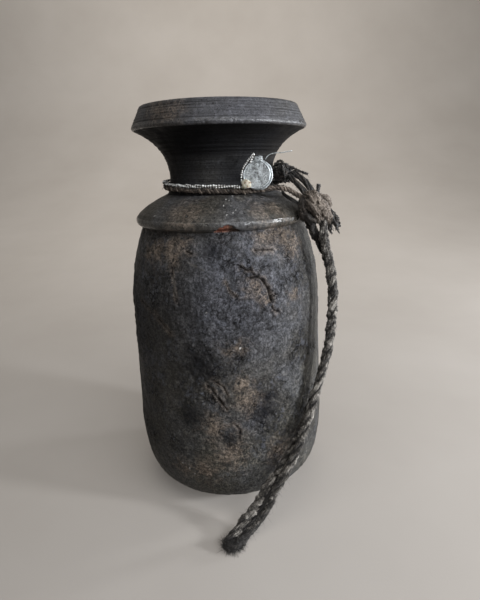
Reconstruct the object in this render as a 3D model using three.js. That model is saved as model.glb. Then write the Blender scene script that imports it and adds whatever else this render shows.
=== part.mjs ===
// A carved and turned wooden carrying pot with a cord harness round its neck, a knotted carry
// rope and a small metal tag. Millimetres, +Z up. The origin is the middle of the pot's foot,
// and the front, where the tag is, faces -Y.

import * as THREE from 'three';

// Driving dimensions of the pot's outside, as radius and height.
const FOOT_RADIUS = 62;
const FOOT_EDGE = { radius: 85, height: 17 };
const LOW_BELLY = { radius: 99.6, height: 50 };
const BELLY = { radius: 102.3, height: 82 };
const CHEST = { radius: 98.8, height: 215 };
const UNDERCUT = { radius: 83.3, height: 286.5, gap: 4 };
const LIP = { radius: 88.3, height: 299.5 };
const NECK_FOOT = { radius: 55, height: 319.8 };
const WAIST = { radius: 51.4, height: 337 };
const RIDGE = { radius: 85.2, height: 381.3 };
const POT_HEIGHT = 400;
const RIM_TOP_RADIUS = 75.5;

// The hollow inside: a funnel mouth, a narrow neck and a wide belly over a thick floor.
const MOUTH_RADIUS = 66;
const NECK_BORE = { radius: 38, height: 322.5 };
const FLOOR_THICKNESS = 20;
const HOLLOW = { radius: 89, low: 70, high: 215 };

// Turned grooves on the sloping band of the rim.
const RIM_GROOVES = 5;
const GROOVE_DEPTH = 0.8;
const GROOVE_HALF_WIDTH = 0.7;

const POT_SEGMENTS = 48;
const CURVE_STEPS = 5;

// The harness. Cord sizes are diameters. Its rings round the neck are lowest in this direction,
// where the knot pulls them down, and rise above or fall below their height by their tilt.
const RING_LOW = -60;
const NECK_CORD = 5;
const NECK_CORD_RING = { radius: 56.5, height: 326.3, tilt: 2.8 };
const NECK_STRING = 2.5;
const NECK_STRING_RING = { radius: 58.2, height: 330.2, tilt: 2.8 };
const OUTER_LASHING = 5.4;
const INNER_LASHING = 4.8;
const THIN_CORD = 3.4;
const LOOSE_CORD = 2.2;
const CORD_SIDES = 8;

// The knot hangs just past the lip. The carry rope swings about its axis.
const KNOT_CENTRE = new THREE.Vector3(87.3, -50, 305.3);
const KNOT_AXIS = new THREE.Vector3(0.954, 0.3, 0).normalize();
const KNOT_RADIUS = 12.2;
const KNOT_HALF_LENGTH = 13.4;
const STUB_DIAMETER = 4.4;

const CARRY_ROPE = 8;

// The tag: two thin discs, a folded strip over them and what hangs on it.
const TAG_CENTRE = new THREE.Vector3(33.5, -61.4, 336.6);
const TAG_YAW = THREE.MathUtils.degToRad(-16);
const TAG_LEAN = THREE.MathUtils.degToRad(-9);
const TAG_FACE = { radius: 12.45, thickness: 1.8 };
const TAG_BACK = { radius: 13.05, thickness: 1.6, shift: 1.1 };
const TAG_STRIP = { width: 6.4, thickness: 0.8, front: 5.6, back: 5, rise: 2.7 };
const TAG_STRING = 2;
const TAG_WIRE = 1;
const SOLID_GAP = 0.35;

const wood = { color: 0x2c2926, roughness: 0.6, metalness: 0 };
const brownCord = { color: 0x4a3a2e, roughness: 0.9, metalness: 0 };
const darkCord = { color: 0x231c18, roughness: 0.7, metalness: 0 };
const greyRope = { color: 0x5a5249, roughness: 0.95, metalness: 0 };
const whiteString = { color: 0xcfc6b4, roughness: 0.9, metalness: 0 };
const greyMetal = { color: 0x8f979b, roughness: 0.45, metalness: 0.9 };
const creamWax = { color: 0xd9c9a5, roughness: 0.5, metalness: 0 };

const object = new THREE.Group();

function piece(name, geometry, look, parent = object) {
  const mesh = new THREE.Mesh(geometry, new THREE.MeshStandardMaterial(look));
  mesh.name = name;
  parent.add(mesh);
  return mesh;
}

function vector([x, y, z]) {
  return new THREE.Vector3(x, y, z);
}

function smoothCurve(points) {
  return new THREE.CatmullRomCurve3(points, false, 'centripetal');
}

// A closed round tube along a curve.
function tube(curve, diameter, steps, sides = CORD_SIDES) {
  const section = new THREE.Shape();
  for (let i = 0; i < sides; i += 1) {
    const angle = (2 * Math.PI * i) / sides;
    const x = (diameter / 2) * Math.cos(angle);
    const y = (diameter / 2) * Math.sin(angle);
    if (i === 0) section.moveTo(x, y);
    else section.lineTo(x, y);
  }
  section.closePath();
  return new THREE.ExtrudeGeometry(section, { steps, extrudePath: curve, bevelEnabled: false });
}

// A body of revolution about +Z from a profile of radius and height.
function turned(profile, segments) {
  const geometry = new THREE.LatheGeometry(profile, segments);
  geometry.rotateX(Math.PI / 2);
  return geometry;
}

// The least gap between stretches of one tube that are further apart along it than `apart`.
function leastGap(curve, diameter, apart) {
  const count = 400;
  const points = curve.getSpacedPoints(count);
  const skip = Math.ceil((apart / curve.getLength()) * count);
  let least = Infinity;
  for (let i = 0; i <= count; i += 1) {
    for (let j = i + skip; j <= count; j += 1) {
      least = Math.min(least, points[i].distanceTo(points[j]));
    }
  }
  return least - diameter;
}

// The pot: one piece of wood, turned outside and hollowed through the mouth.
function potProfile() {
  const line = new THREE.Path();
  line.moveTo(0, 0);
  line.lineTo(FOOT_RADIUS, 0);
  line.lineTo(FOOT_EDGE.radius, FOOT_EDGE.height);
  line.bezierCurveTo(95, 25, 98, 35, LOW_BELLY.radius, LOW_BELLY.height);
  line.quadraticCurveTo(BELLY.radius - 0.3, 65, BELLY.radius, BELLY.height);
  line.quadraticCurveTo(BELLY.radius - 2.6, 150, CHEST.radius, CHEST.height);
  line.bezierCurveTo(CHEST.radius - 0.9, 235, 92, 268, UNDERCUT.radius, UNDERCUT.height);
  line.lineTo(UNDERCUT.radius, UNDERCUT.height + UNDERCUT.gap);
  line.bezierCurveTo(LIP.radius - 1.3, 290.8, LIP.radius + 1.8, 295.5, LIP.radius - 1.1, LIP.height);
  line.bezierCurveTo(82, 307, 67, 314.8, NECK_FOOT.radius, NECK_FOOT.height);
  line.quadraticCurveTo(WAIST.radius + 0.6, 323, WAIST.radius, WAIST.height);
  line.bezierCurveTo(WAIST.radius + 1, 351, 58, 367.5, RIDGE.radius - 1.4, RIDGE.height - 2.5);
  line.lineTo(RIDGE.radius, RIDGE.height);
  addRimGrooves(line);
  line.lineTo(RIM_TOP_RADIUS, POT_HEIGHT);
  line.lineTo(MOUTH_RADIUS, POT_HEIGHT);
  line.bezierCurveTo(62, 375, 40, 360, NECK_BORE.radius, WAIST.height + 3);
  line.lineTo(NECK_BORE.radius, NECK_BORE.height);
  line.bezierCurveTo(52, 312, 72, 302, 75, 284);
  line.bezierCurveTo(84, 262, HOLLOW.radius, 240, HOLLOW.radius, HOLLOW.high);
  line.lineTo(HOLLOW.radius, HOLLOW.low);
  line.bezierCurveTo(HOLLOW.radius, 35, 76, FLOOR_THICKNESS, 55, FLOOR_THICKNESS);
  line.lineTo(0, FLOOR_THICKNESS);
  return line.getPoints(CURVE_STEPS);
}

function addRimGrooves(line) {
  const low = new THREE.Vector2(RIDGE.radius, RIDGE.height);
  const high = new THREE.Vector2(RIM_TOP_RADIUS + 1, POT_HEIGHT - 1);
  const along = high.clone().sub(low).normalize();
  const inward = new THREE.Vector2(-along.y, along.x);
  for (let i = 1; i <= RIM_GROOVES; i += 1) {
    const middle = low.clone().lerp(high, i / (RIM_GROOVES + 1));
    const start = middle.clone().addScaledVector(along, -GROOVE_HALF_WIDTH);
    const bottom = middle.clone().addScaledVector(inward, GROOVE_DEPTH);
    const end = middle.clone().addScaledVector(along, GROOVE_HALF_WIDTH);
    for (const point of [start, bottom, end]) line.lineTo(point.x, point.y);
  }
  line.lineTo(high.x, high.y);
}

piece('pot', turned(potProfile(), POT_SEGMENTS), wood);

// A stretch of a ring round the neck, from one compass angle to another, in degrees.
function ringStretch(ring, from, to, step = 15) {
  const points = [];
  const count = Math.round(Math.abs(to - from) / step);
  for (let i = 0; i <= count; i += 1) {
    const angle = THREE.MathUtils.degToRad(from + ((to - from) * i) / count);
    const height = ring.height - ring.tilt * Math.cos(angle - THREE.MathUtils.degToRad(RING_LOW));
    points.push(vector([ring.radius * Math.cos(angle), ring.radius * Math.sin(angle), height]));
  }
  return points;
}

// The brown cord: from the knot to the front of the neck, round its left and back, to the clump.
const neckCordLead = [
  [75.6, -51.4, 314.2],
  [67, -52.2, 319.6],
  [59, -53.5, 323.6],
  [49.8, -55, 324.8],
  [34, -56.8, 323.5],
  [18, -57.9, 323.2],
].map(vector);
const neckCordEnd = [
  [56.8, 9, 326.8],
  [58.6, 1, 328.6],
  [59.7, -9.6, 331.4],
].map(vector);
const neckCordCurve = smoothCurve([
  ...neckCordLead,
  ...ringStretch(NECK_CORD_RING, -85, -340),
  ...neckCordEnd,
]);
piece('neck_cord', tube(neckCordCurve, NECK_CORD, 48), brownCord);

// The white string lies on the cord, from the tag round to the clump.
const neckStringLead = [
  [22.6, -61.2, 326],
  [17, -60.5, 326.9],
  [11, -59.5, 327.4],
].map(vector);
const neckStringEnd = [
  [56.2, 9, 331.8],
  [56.6, 0, 334.4],
  [57.6, -9.8, 336.4],
].map(vector);
const neckStringCurve = smoothCurve([
  ...neckStringLead,
  ...ringStretch(NECK_STRING_RING, -88, -340),
  ...neckStringEnd,
]);
piece('neck_string', tube(neckStringCurve, NECK_STRING, 48, 6), whiteString);

// The clump where the cords from behind the neck are tied, and the cords from it to the knot.
const clump = new THREE.SphereGeometry(1, 14, 10);
clump.scale(8.6, 9.6, 9.6);
piece('lashing_clump', clump, darkCord).position.set(59.9, -20, 336.5);

const lashings = [
  ['upper_lashing_outer', OUTER_LASHING, darkCord, [
    [69.4, -25, 336.6],
    [76.3, -33, 331.4],
    [81, -38, 327],
    [84, -42.8, 321.6],
    [85.2, -45.6, 317.6],
  ]],
  ['upper_lashing_inner', INNER_LASHING, darkCord, [
    [65.6, -28.2, 333.6],
    [71, -34.6, 327.8],
    [76, -40.4, 322.4],
    [78.8, -45.2, 318],
    [79.8, -46.6, 315.8],
  ]],
  ['lower_lashing', THIN_CORD, greyRope, [
    [59.8, -24.6, 324.4],
    [58.6, -34, 321.4],
    [59, -43, 318.2],
    [63.6, -47.6, 314.4],
    [68, -49.6, 311.8],
    [72.4, -50.8, 309.2],
  ]],
  ['loose_strand', LOOSE_CORD, brownCord, [
    [67.2, -24.8, 342.4],
    [70, -25.8, 341],
    [76.2, -27.6, 337.4],
    [83, -30, 334.2],
  ]],
];
for (const [name, diameter, look, points] of lashings) {
  piece(name, tube(smoothCurve(points.map(vector)), diameter, 12), look);
}

// The knot, as three fat turns side by side about its axis.
function knotProfile() {
  const points = [];
  const steps = 14;
  for (let i = 0; i <= steps; i += 1) {
    const along = -1 + (2 * i) / steps;
    const swell = 0.95 + 0.05 * Math.cos(3 * Math.PI * along);
    const radius = KNOT_RADIUS * Math.sqrt(Math.max(0, 1 - along * along)) * swell;
    points.push(new THREE.Vector2(radius, KNOT_HALF_LENGTH * along));
  }
  return points;
}
const knot = piece('carry_knot', new THREE.LatheGeometry(knotProfile(), 16), greyRope);
knot.position.copy(KNOT_CENTRE);
knot.quaternion.setFromUnitVectors(new THREE.Vector3(0, 1, 0), KNOT_AXIS);

const stubCurve = smoothCurve([
  [90.5, -44.7, 316.3],
  [91.2, -43.4, 321],
  [91.9, -42.6, 325.8],
].map(vector));
piece('knot_stub', tube(stubCurve, STUB_DIAMETER, 4), greyRope);

// The frayed end that hangs at the knot's outer side: a thin neck that opens into a tuft.
const tasselProfile = [
  [0, 0],
  [2.4, 0],
  [3.2, 5],
  [5.6, 13],
  [6.2, 20],
  [4.2, 25],
  [0, 25],
].map(([radius, along]) => new THREE.Vector2(radius, along));
const tassel = piece('frayed_tassel', new THREE.LatheGeometry(tasselProfile, 10), darkCord);
tassel.position.set(101.8, -45.3, 303.2);
tassel.quaternion.setFromUnitVectors(
  new THREE.Vector3(0, 1, 0),
  new THREE.Vector3(0.21, -0.04, -0.98).normalize(),
);

// The carry rope: one rope from the knot down to its fold on the ground and back up beside itself.
const outerStrand = [
  [94.4, -53, 292.4],
  [95.2, -54.4, 278],
  [101.8, -55.4, 248],
  [104, -56.2, 226],
  [104, -57.8, 204],
  [101.4, -61.6, 181],
  [96.4, -66.8, 158],
  [89, -73, 135],
  [80.8, -81.4, 113],
  [72.8, -91, 94.5],
  [63.6, -99.4, 77],
  [54.2, -105.2, 61],
  [45.2, -108.6, 45.4],
  [37.6, -112, 31],
  [29.8, -116, 19.2],
  [18.8, -122.4, 9.7],
  [10.6, -129.4, 5.2],
];
const fold = [
  [5.6, -135.8, 4.6],
  [1.4, -139.8, 4.5],
  [-3.2, -140.6, 4.5],
  [-6.4, -137.8, 4.6],
];
const innerStrand = [
  [-5.8, -133.6, 4.9],
  [-1.3, -128.8, 6.2],
  [8.9, -119.8, 11.2],
  [18, -113.4, 19.8],
  [27.2, -108.2, 29.1],
  [34.1, -104.2, 39.7],
  [42.6, -99.5, 49.6],
  [51, -96.1, 60.8],
  [61.4, -89.8, 76.6],
  [73.6, -79.6, 95.8],
  [84, -69.8, 115.7],
  [94.9, -60.6, 144.1],
  [100.6, -55.8, 163.7],
  [104, -51.5, 183.5],
  [105.9, -48.3, 203.6],
  [105.8, -46.6, 228],
  [102.5, -45.7, 249.5],
  [95.7, -45.5, 266.1],
  [89.6, -47.6, 278],
  [84.9, -51.2, 286.6],
  [83.2, -52.6, 291.2],
];

// Its steps are drawn together at the fold, halfway along, where it bends most.
class FoldedRope extends THREE.CatmullRomCurve3 {
  getUtoTmapping(u, distance) {
    const crowding = 0.7;
    const warped = u + (crowding / (2 * Math.PI)) * Math.sin(2 * Math.PI * u);
    return super.getUtoTmapping(distance === undefined || distance === null ? warped : u, distance);
  }
}
const carryPoints = [...outerStrand, ...fold, ...innerStrand].map(vector);
const carryCurve = new FoldedRope(carryPoints, false, 'centripetal');
piece('carry_rope', tube(carryCurve, CARRY_ROPE, 80), greyRope);

// The tag stands at the cord on its lower edge. Its own axes: x to its right, y through it from
// front to back, z up its face, and its centre at the origin.
const tag = new THREE.Group();
tag.position.copy(TAG_CENTRE);
tag.rotation.set(TAG_LEAN, 0, TAG_YAW, 'ZXY');
object.add(tag);

function disc({ radius, thickness }) {
  const bevel = 0.3;
  const profile = [
    [0, 0],
    [radius - bevel, 0],
    [radius, bevel],
    [radius, thickness - bevel],
    [radius - bevel, thickness],
    [0, thickness],
  ].map(([r, y]) => new THREE.Vector2(r, y));
  return new THREE.LatheGeometry(profile, 32);
}
const faceFront = -(TAG_FACE.thickness + SOLID_GAP / 2);
piece('tag_face', disc(TAG_FACE), greyMetal, tag).position.set(0, faceFront, 0);
piece('tag_back', disc(TAG_BACK), greyMetal, tag).position.set(TAG_BACK.shift, SOLID_GAP / 2, 0);

// The strip is bent over the top edges of both discs.
function stripShape() {
  const inner = TAG_STRIP.thickness;
  const front = faceFront - SOLID_GAP;
  const back = TAG_BACK.thickness + 1.5 * SOLID_GAP;
  const top = TAG_BACK.radius + TAG_STRIP.rise;
  const shape = new THREE.Shape();
  shape.moveTo(front, top - inner - TAG_STRIP.front);
  shape.lineTo(front, top - inner);
  shape.lineTo(back, top - inner);
  shape.lineTo(back, top - inner - TAG_STRIP.back);
  shape.lineTo(back + inner, top - inner - TAG_STRIP.back);
  shape.lineTo(back + inner, top);
  shape.lineTo(front - inner, top);
  shape.lineTo(front - inner, top - inner - TAG_STRIP.front);
  shape.closePath();
  return shape;
}
const stripGeometry = new THREE.ExtrudeGeometry(stripShape(), {
  depth: TAG_STRIP.width,
  bevelEnabled: false,
});
const strip = piece('tag_strip', stripGeometry, greyMetal, tag);
strip.quaternion.setFromRotationMatrix(new THREE.Matrix4().makeBasis(
  new THREE.Vector3(0, 1, 0),
  new THREE.Vector3(0, 0, 1),
  new THREE.Vector3(1, 0, 0),
));
strip.position.set(-TAG_STRIP.width / 2 + 1.2, 0, 0);

// The twisted string up the tag's left side, ending in a small bight over its top.
const tagStringPoints = [
  [-13, -3.3, -6.2],
  [-13.6, -3.3, -2.6],
  [-13.2, -3.3, 1],
  [-12.2, -3.3, 5.2],
  [-9.4, -3.3, 9.9],
  [-5, -3.3, 15.4],
  [-3.2, -2.6, 18.2],
].map(vector);
piece('tag_string', tube(smoothCurve(tagStringPoints), TAG_STRING, 14, 6), whiteString, tag);

const tagWirePoints = [
  [7.2, 0.4, 13.4],
  [9.3, 0, 16.1],
  [13.8, 0, 18],
  [21.2, 0.6, 18.4],
  [30.3, 1.6, 19.8],
].map(vector);
piece('tag_wire', tube(smoothCurve(tagWirePoints), TAG_WIRE, 14, 6), greyMetal, tag);

const wax = new THREE.SphereGeometry(1, 12, 8);
wax.scale(3.3, 1.8, 2.9);
piece('wax_blob', wax, creamWax, tag).position.set(-9.2, -4.3, -8.9);

console.log(`neck cord least gap to itself ${leastGap(neckCordCurve, NECK_CORD, 60).toFixed(2)} mm`);
console.log(`neck string least gap to itself ${leastGap(neckStringCurve, NECK_STRING, 60).toFixed(2)} mm`);
console.log(`carry rope ${smoothCurve(carryPoints).getLength().toFixed(0)} mm long,`);
console.log(`its strands ${leastGap(smoothCurve(carryPoints), CARRY_ROPE, 40).toFixed(2)} mm apart`);

export default object;
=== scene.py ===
"""An old wooden carrying pot with a cord harness, a knotted carry rope and a metal tag.

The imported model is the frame. Every piece here is in metres and in the frame's own place: the
middle of the pot's foot is the origin, +Z is up, and the front, where the tag is, faces -Y.
"""

import math
from itertools import product

import bpy
import numpy as np
from mathutils import Matrix, Vector


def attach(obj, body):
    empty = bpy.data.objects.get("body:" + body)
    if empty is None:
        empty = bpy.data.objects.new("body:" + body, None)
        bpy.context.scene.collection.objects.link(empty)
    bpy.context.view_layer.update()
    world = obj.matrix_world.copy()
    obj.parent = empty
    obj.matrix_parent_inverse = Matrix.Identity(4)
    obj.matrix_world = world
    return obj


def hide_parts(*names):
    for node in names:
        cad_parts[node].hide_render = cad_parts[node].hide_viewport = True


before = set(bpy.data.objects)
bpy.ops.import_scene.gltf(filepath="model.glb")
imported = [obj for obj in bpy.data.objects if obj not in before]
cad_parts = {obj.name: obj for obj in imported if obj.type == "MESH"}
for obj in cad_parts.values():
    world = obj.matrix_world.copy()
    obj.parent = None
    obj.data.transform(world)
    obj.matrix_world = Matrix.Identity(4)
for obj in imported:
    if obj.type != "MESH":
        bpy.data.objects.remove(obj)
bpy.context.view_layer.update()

MM = 0.001


# Camera: the photograph's place and lens, for a picture of 480 by 600.
CAMERA_PLACE = (0.01435, -0.4754, 0.3482)
CAMERA_DOWN = math.radians(17.01)
CAMERA_ROLL = math.radians(2.08)
FOCAL_PIXELS = 451
PICTURE_HEIGHT = 600
SENSOR = 36


def add_camera():
    data = bpy.data.cameras.new("camera")
    data.sensor_fit = "VERTICAL"
    data.sensor_height = SENSOR
    data.lens = FOCAL_PIXELS / PICTURE_HEIGHT * SENSOR
    data.clip_start = 0.01
    camera = bpy.data.objects.new("camera", data)
    right = Vector((1, 0, 0))
    up = Vector((0, math.sin(CAMERA_DOWN), math.cos(CAMERA_DOWN)))
    back = Vector((0, -math.cos(CAMERA_DOWN), math.sin(CAMERA_DOWN)))
    rolled_right = right * math.cos(CAMERA_ROLL) - up * math.sin(CAMERA_ROLL)
    rolled_up = up * math.cos(CAMERA_ROLL) + right * math.sin(CAMERA_ROLL)
    turn = Matrix((rolled_right, rolled_up, back)).transposed().to_4x4()
    camera.matrix_world = Matrix.Translation(CAMERA_PLACE) @ turn
    bpy.context.scene.collection.objects.link(camera)
    bpy.context.scene.camera = camera


add_camera()


# Noise: smooth lumps from a fixed lattice of random values, the same in each run.
LATTICE = 64
LATTICE_VALUES = np.random.default_rng(4).uniform(-1, 1, (LATTICE,) * 3)
SEED_SHIFT = 37.7


def noise(points, size, seed=0):
    """Lumps from -1 to 1 at each point. Size is how far apart they are, along all axes or each."""
    place = points / np.asarray(size, float) + SEED_SHIFT * (seed + 1)
    cell = np.floor(place)
    part = place - cell
    part = part ** 3 * (part * (part * 6 - 15) + 10)
    cell = cell.astype(int)
    total = np.zeros(len(points))
    for corner in product((0, 1), repeat=3):
        share = np.prod(np.where(corner, part, 1 - part), axis=1)
        i, j, k = ((cell + corner) % LATTICE).T
        total += share * LATTICE_VALUES[i, j, k]
    return total


def fractal(points, size, octaves=4, seed=0, fade=0.5):
    total, strength = 0, 1
    for octave in range(octaves):
        total = total + strength * noise(points, np.asarray(size) / 2 ** octave, seed + 5 * octave)
        strength *= fade
    return total


def smooth_step(value, low, high):
    part = np.clip((value - low) / (high - low), 0, 1)
    return part * part * (3 - 2 * part)


# Lines: smooth routes, and the frames that tubes are built on.
CURVE_STEPS = 24
TINY = 1e-12


def metres(points):
    return np.asarray(points, float) * MM


def route(points, spacing):
    """A smooth route through points given in millimetres."""
    return smooth_route(metres(points), spacing)


def smooth_route(points, spacing):
    """Points about spacing apart on the centripetal Catmull-Rom curve through the given ones."""
    points = np.asarray(points, float)
    ends = 2 * points[0] - points[1], 2 * points[-1] - points[-2]
    held = np.vstack([ends[0], points, ends[1]])
    fine = []
    for p0, p1, p2, p3 in zip(held, held[1:], held[2:], held[3:]):
        d0, d1, d2 = (math.sqrt(np.linalg.norm(b - a)) for a, b in ((p0, p1), (p1, p2), (p2, p3)))
        start = ((p1 - p0) / d0 - (p2 - p0) / (d0 + d1) + (p2 - p1) / d1) * d1
        end = ((p2 - p1) / d1 - (p3 - p1) / (d1 + d2) + (p3 - p2) / d2) * d1
        t = np.linspace(0, 1, CURVE_STEPS, endpoint=False)[:, None]
        cubic = 2 * p1 - 2 * p2 + start + end
        square = 3 * p2 - 3 * p1 - 2 * start - end
        fine.append(p1 + start * t + square * t ** 2 + cubic * t ** 3)
    return evenly(np.vstack([*fine, points[-1:]]), spacing)


def distances(line):
    steps = np.linalg.norm(np.diff(line, axis=0), axis=1)
    return np.concatenate([[0], np.cumsum(steps)])


def evenly(line, spacing):
    along = distances(line)
    count = max(2, round(along[-1] / spacing) + 1)
    at = np.linspace(0, along[-1], count)
    return np.stack([np.interp(at, along, line[:, k]) for k in range(3)], axis=1)


def unit(vectors):
    return vectors / np.maximum(np.linalg.norm(vectors, axis=-1, keepdims=True), TINY)


def frames_along(line):
    """The tangent at each point of a line, and two normals that turn as little as they can."""
    tangent = unit(np.gradient(line, axis=0))
    first = np.cross(tangent[0], (0, 0, 1) if abs(tangent[0][2]) < 0.9 else (1, 0, 0))
    side = [unit(first)]
    for t in tangent[1:]:
        side.append(unit(side[-1] - t * np.dot(side[-1], t)))
    side = np.array(side)
    return tangent, side, np.cross(tangent, side)


# Meshes
def new_piece(name, points, faces, body, material, replaces=(), values=None, uv=None):
    """A smooth mesh piece that rides on a body. A face whose last corner is its first is a
    triangle. Values are attributes at its points."""
    faces = np.asarray(faces)
    flat = faces[:, 0] == faces[:, -1]
    shapes = [face[:-1] if short else face for face, short in zip(faces.tolist(), flat)]
    mesh = bpy.data.meshes.new(name)
    mesh.from_pydata(np.asarray(points).tolist(), [], shapes)
    for key, value in (values or {}).items():
        value = np.asarray(value, np.float32)
        kind, field = ("FLOAT", "value") if value.ndim == 1 else ("FLOAT_VECTOR", "vector")
        mesh.attributes.new(key, kind, "POINT").data.foreach_set(field, value.ravel())
    if uv is not None:
        corners = np.empty(len(mesh.loops), int)
        mesh.loops.foreach_get("vertex_index", corners)
        layer = mesh.uv_layers.new(name="OFBake")
        layer.data.foreach_set("uv", uv(corners, flat).astype(np.float32).ravel())
    mesh.polygons.foreach_set("use_smooth", np.ones(len(mesh.polygons), bool))
    mesh.materials.append(material)
    piece = bpy.data.objects.new(name, mesh)
    bpy.context.scene.collection.objects.link(piece)
    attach(piece, body)
    if replaces:
        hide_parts(*replaces)
    return piece


def grid_faces(rows, columns, first=0):
    """Faces of a sheet of rows by columns whose last column meets its first."""
    row, column = np.meshgrid(np.arange(rows - 1), np.arange(columns), indexing="ij")
    beside = (column + 1) % columns
    corners = (row * columns + column, row * columns + beside)
    corners += ((row + 1) * columns + beside, (row + 1) * columns + column)
    return np.stack([c.ravel() for c in corners], axis=1) + first


def closed_grid(rows, columns, start, end, first=0):
    """Faces of such a sheet, with triangles from its first row to the point start and from its
    last row to the point end."""
    column = np.arange(columns)
    beside = (column + 1) % columns
    last = first + (rows - 1) * columns
    start, end = 0 * column + start, 0 * column + end
    first_fan = np.stack([start, first + beside, first + column, start], axis=1)
    last_fan = np.stack([end, last + column, last + beside, end], axis=1)
    return np.vstack([grid_faces(rows, columns, first), first_fan, last_fan])


# A hair is a thin cone of few sides. FIBRE_SHIFT keeps two tubes from showing the same fibre.
HAIR_STEPS = 5
HAIR_SIDES = 3
HAIR_CURL = 0.6
HAIR_DROOP = 0.25
HAIR_TAPER = 0.75
HAIR_TONES = 0.3
FIBRE_SHIFT = np.array([7.1, 0, 11.3]) * MM


class Tubes:
    """Tubes gathered into one mesh. Each keeps, for its material, where along and round it a point
    is (fibre) and a value of its own (tone)."""

    def __init__(self):
        self.points, self.faces, self.fibre, self.tone = [], [], [], []
        self.count = 0

    def add(self, line, radius, sides, twist=0.0, relief=None, tone=0.5, outward=None, shade=0.0):
        """A closed tube along a line. Twist is in turns per metre, and relief(along, angle) gives
        what its radius is multiplied by. Where outward is given, the tube's tone falls by shade on
        the side that faces away from it: painted shade in the crevices between strands."""
        _, side, up = frames_along(line)
        along = distances(line)
        angle = np.linspace(0, 2 * math.pi, sides, endpoint=False)
        radius = np.broadcast_to(np.asarray(radius, float), (len(line),))
        reach = radius[:, None] * np.ones(sides)
        if relief is not None:
            reach = reach * relief(along[:, None], angle[None, :])
        ring = side[:, None, :] * np.cos(angle)[:, None] + up[:, None, :] * np.sin(angle)[:, None]
        places = line[:, None, :] + ring * reach[:, :, None]
        turned = angle[None, :] - 2 * math.pi * twist * along[:, None]
        middle = radius.mean()
        fibre = np.broadcast_arrays(along[:, None], middle * np.cos(turned), middle * np.sin(turned))
        fibre = np.stack(fibre, axis=2) + self.count * FIBRE_SHIFT
        start = self.count + len(line) * sides
        self.points += [places.reshape(-1, 3), line[:1], line[-1:]]
        self.faces.append(closed_grid(len(line), sides, start, start + 1, self.count))
        self.fibre += [fibre.reshape(-1, 3), fibre[0].mean(0)[None], fibre[-1].mean(0)[None]]
        tone = np.broadcast_to(np.asarray(tone, float), (len(line),))
        tones = np.repeat(tone, sides)
        if outward is not None:
            tones = tones - shade * (1 - (ring * outward[:, None, :]).sum(axis=2).ravel())
        self.tone += [tones, tone[:1], tone[-1:]]
        self.count = start + 2

    def hairs(self, roots, ways, lengths, radius, seed, tone):
        """Many thin hairs at once, each from its root along its way."""
        random = np.random.default_rng(seed)
        number = len(roots)
        part = np.linspace(0, 1, HAIR_STEPS)[None, :, None]
        reach = lengths.reshape(-1, 1, 1) * part
        sway = unit(random.normal(size=(number, 3)))[:, None, :]
        line = roots[:, None, :] + ways[:, None, :] * reach + sway * reach * part * HAIR_CURL
        line[:, :, 2] -= (reach * part)[:, :, 0] * HAIR_DROOP
        across = unit(np.cross(ways, random.normal(size=(number, 3))))
        other = np.cross(ways, across)
        angle = 2 * math.pi * np.arange(HAIR_SIDES)[:, None] / HAIR_SIDES
        ring = across[:, None, :] * np.cos(angle) + other[:, None, :] * np.sin(angle)
        thick = radius * (1 - HAIR_TAPER * part)
        places = line[:, :, None, :] + ring[:, None, :, :] * thick[:, :, None, :]
        size = HAIR_STEPS * HAIR_SIDES
        first = self.count + np.arange(number)[:, None, None] * size
        last = size - HAIR_SIDES
        caps = np.array([(0, 2, 1, 0), (last, last + 1, last + 2, last)])
        for faces in (grid_faces(HAIR_STEPS, HAIR_SIDES), caps):
            self.faces.append((faces + first).reshape(-1, 4))
        self.points.append(places.reshape(-1, 3))
        self.fibre.append(places.reshape(-1, 3))
        self.tone.append(np.repeat(tone + random.uniform(-HAIR_TONES, HAIR_TONES, number), size))
        self.count += number * size

    def piece(self, name, body, slot, material, replaces=(), lowest=None):
        points = np.vstack(self.points)
        if lowest is not None:
            points[:, 2] = np.maximum(points[:, 2], lowest)
        values = {"fibre": np.vstack(self.fibre), "tone": np.concatenate(self.tone)}
        return new_piece(name, points, np.vstack(self.faces), body, material, replaces, values)


# Materials
class Value:
    """What a node of a look gives. It can be added to, taken from and multiplied."""

    def __init__(self, look, socket):
        self.look, self.socket = look, socket

    def __add__(self, other):
        return self.look.math("ADD", self, other)

    def __mul__(self, other):
        return self.look.math("MULTIPLY", self, other)

    def __sub__(self, other):
        return self.look.math("SUBTRACT", self, other)

    def __rsub__(self, other):
        return self.look.math("SUBTRACT", other, self)


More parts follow.
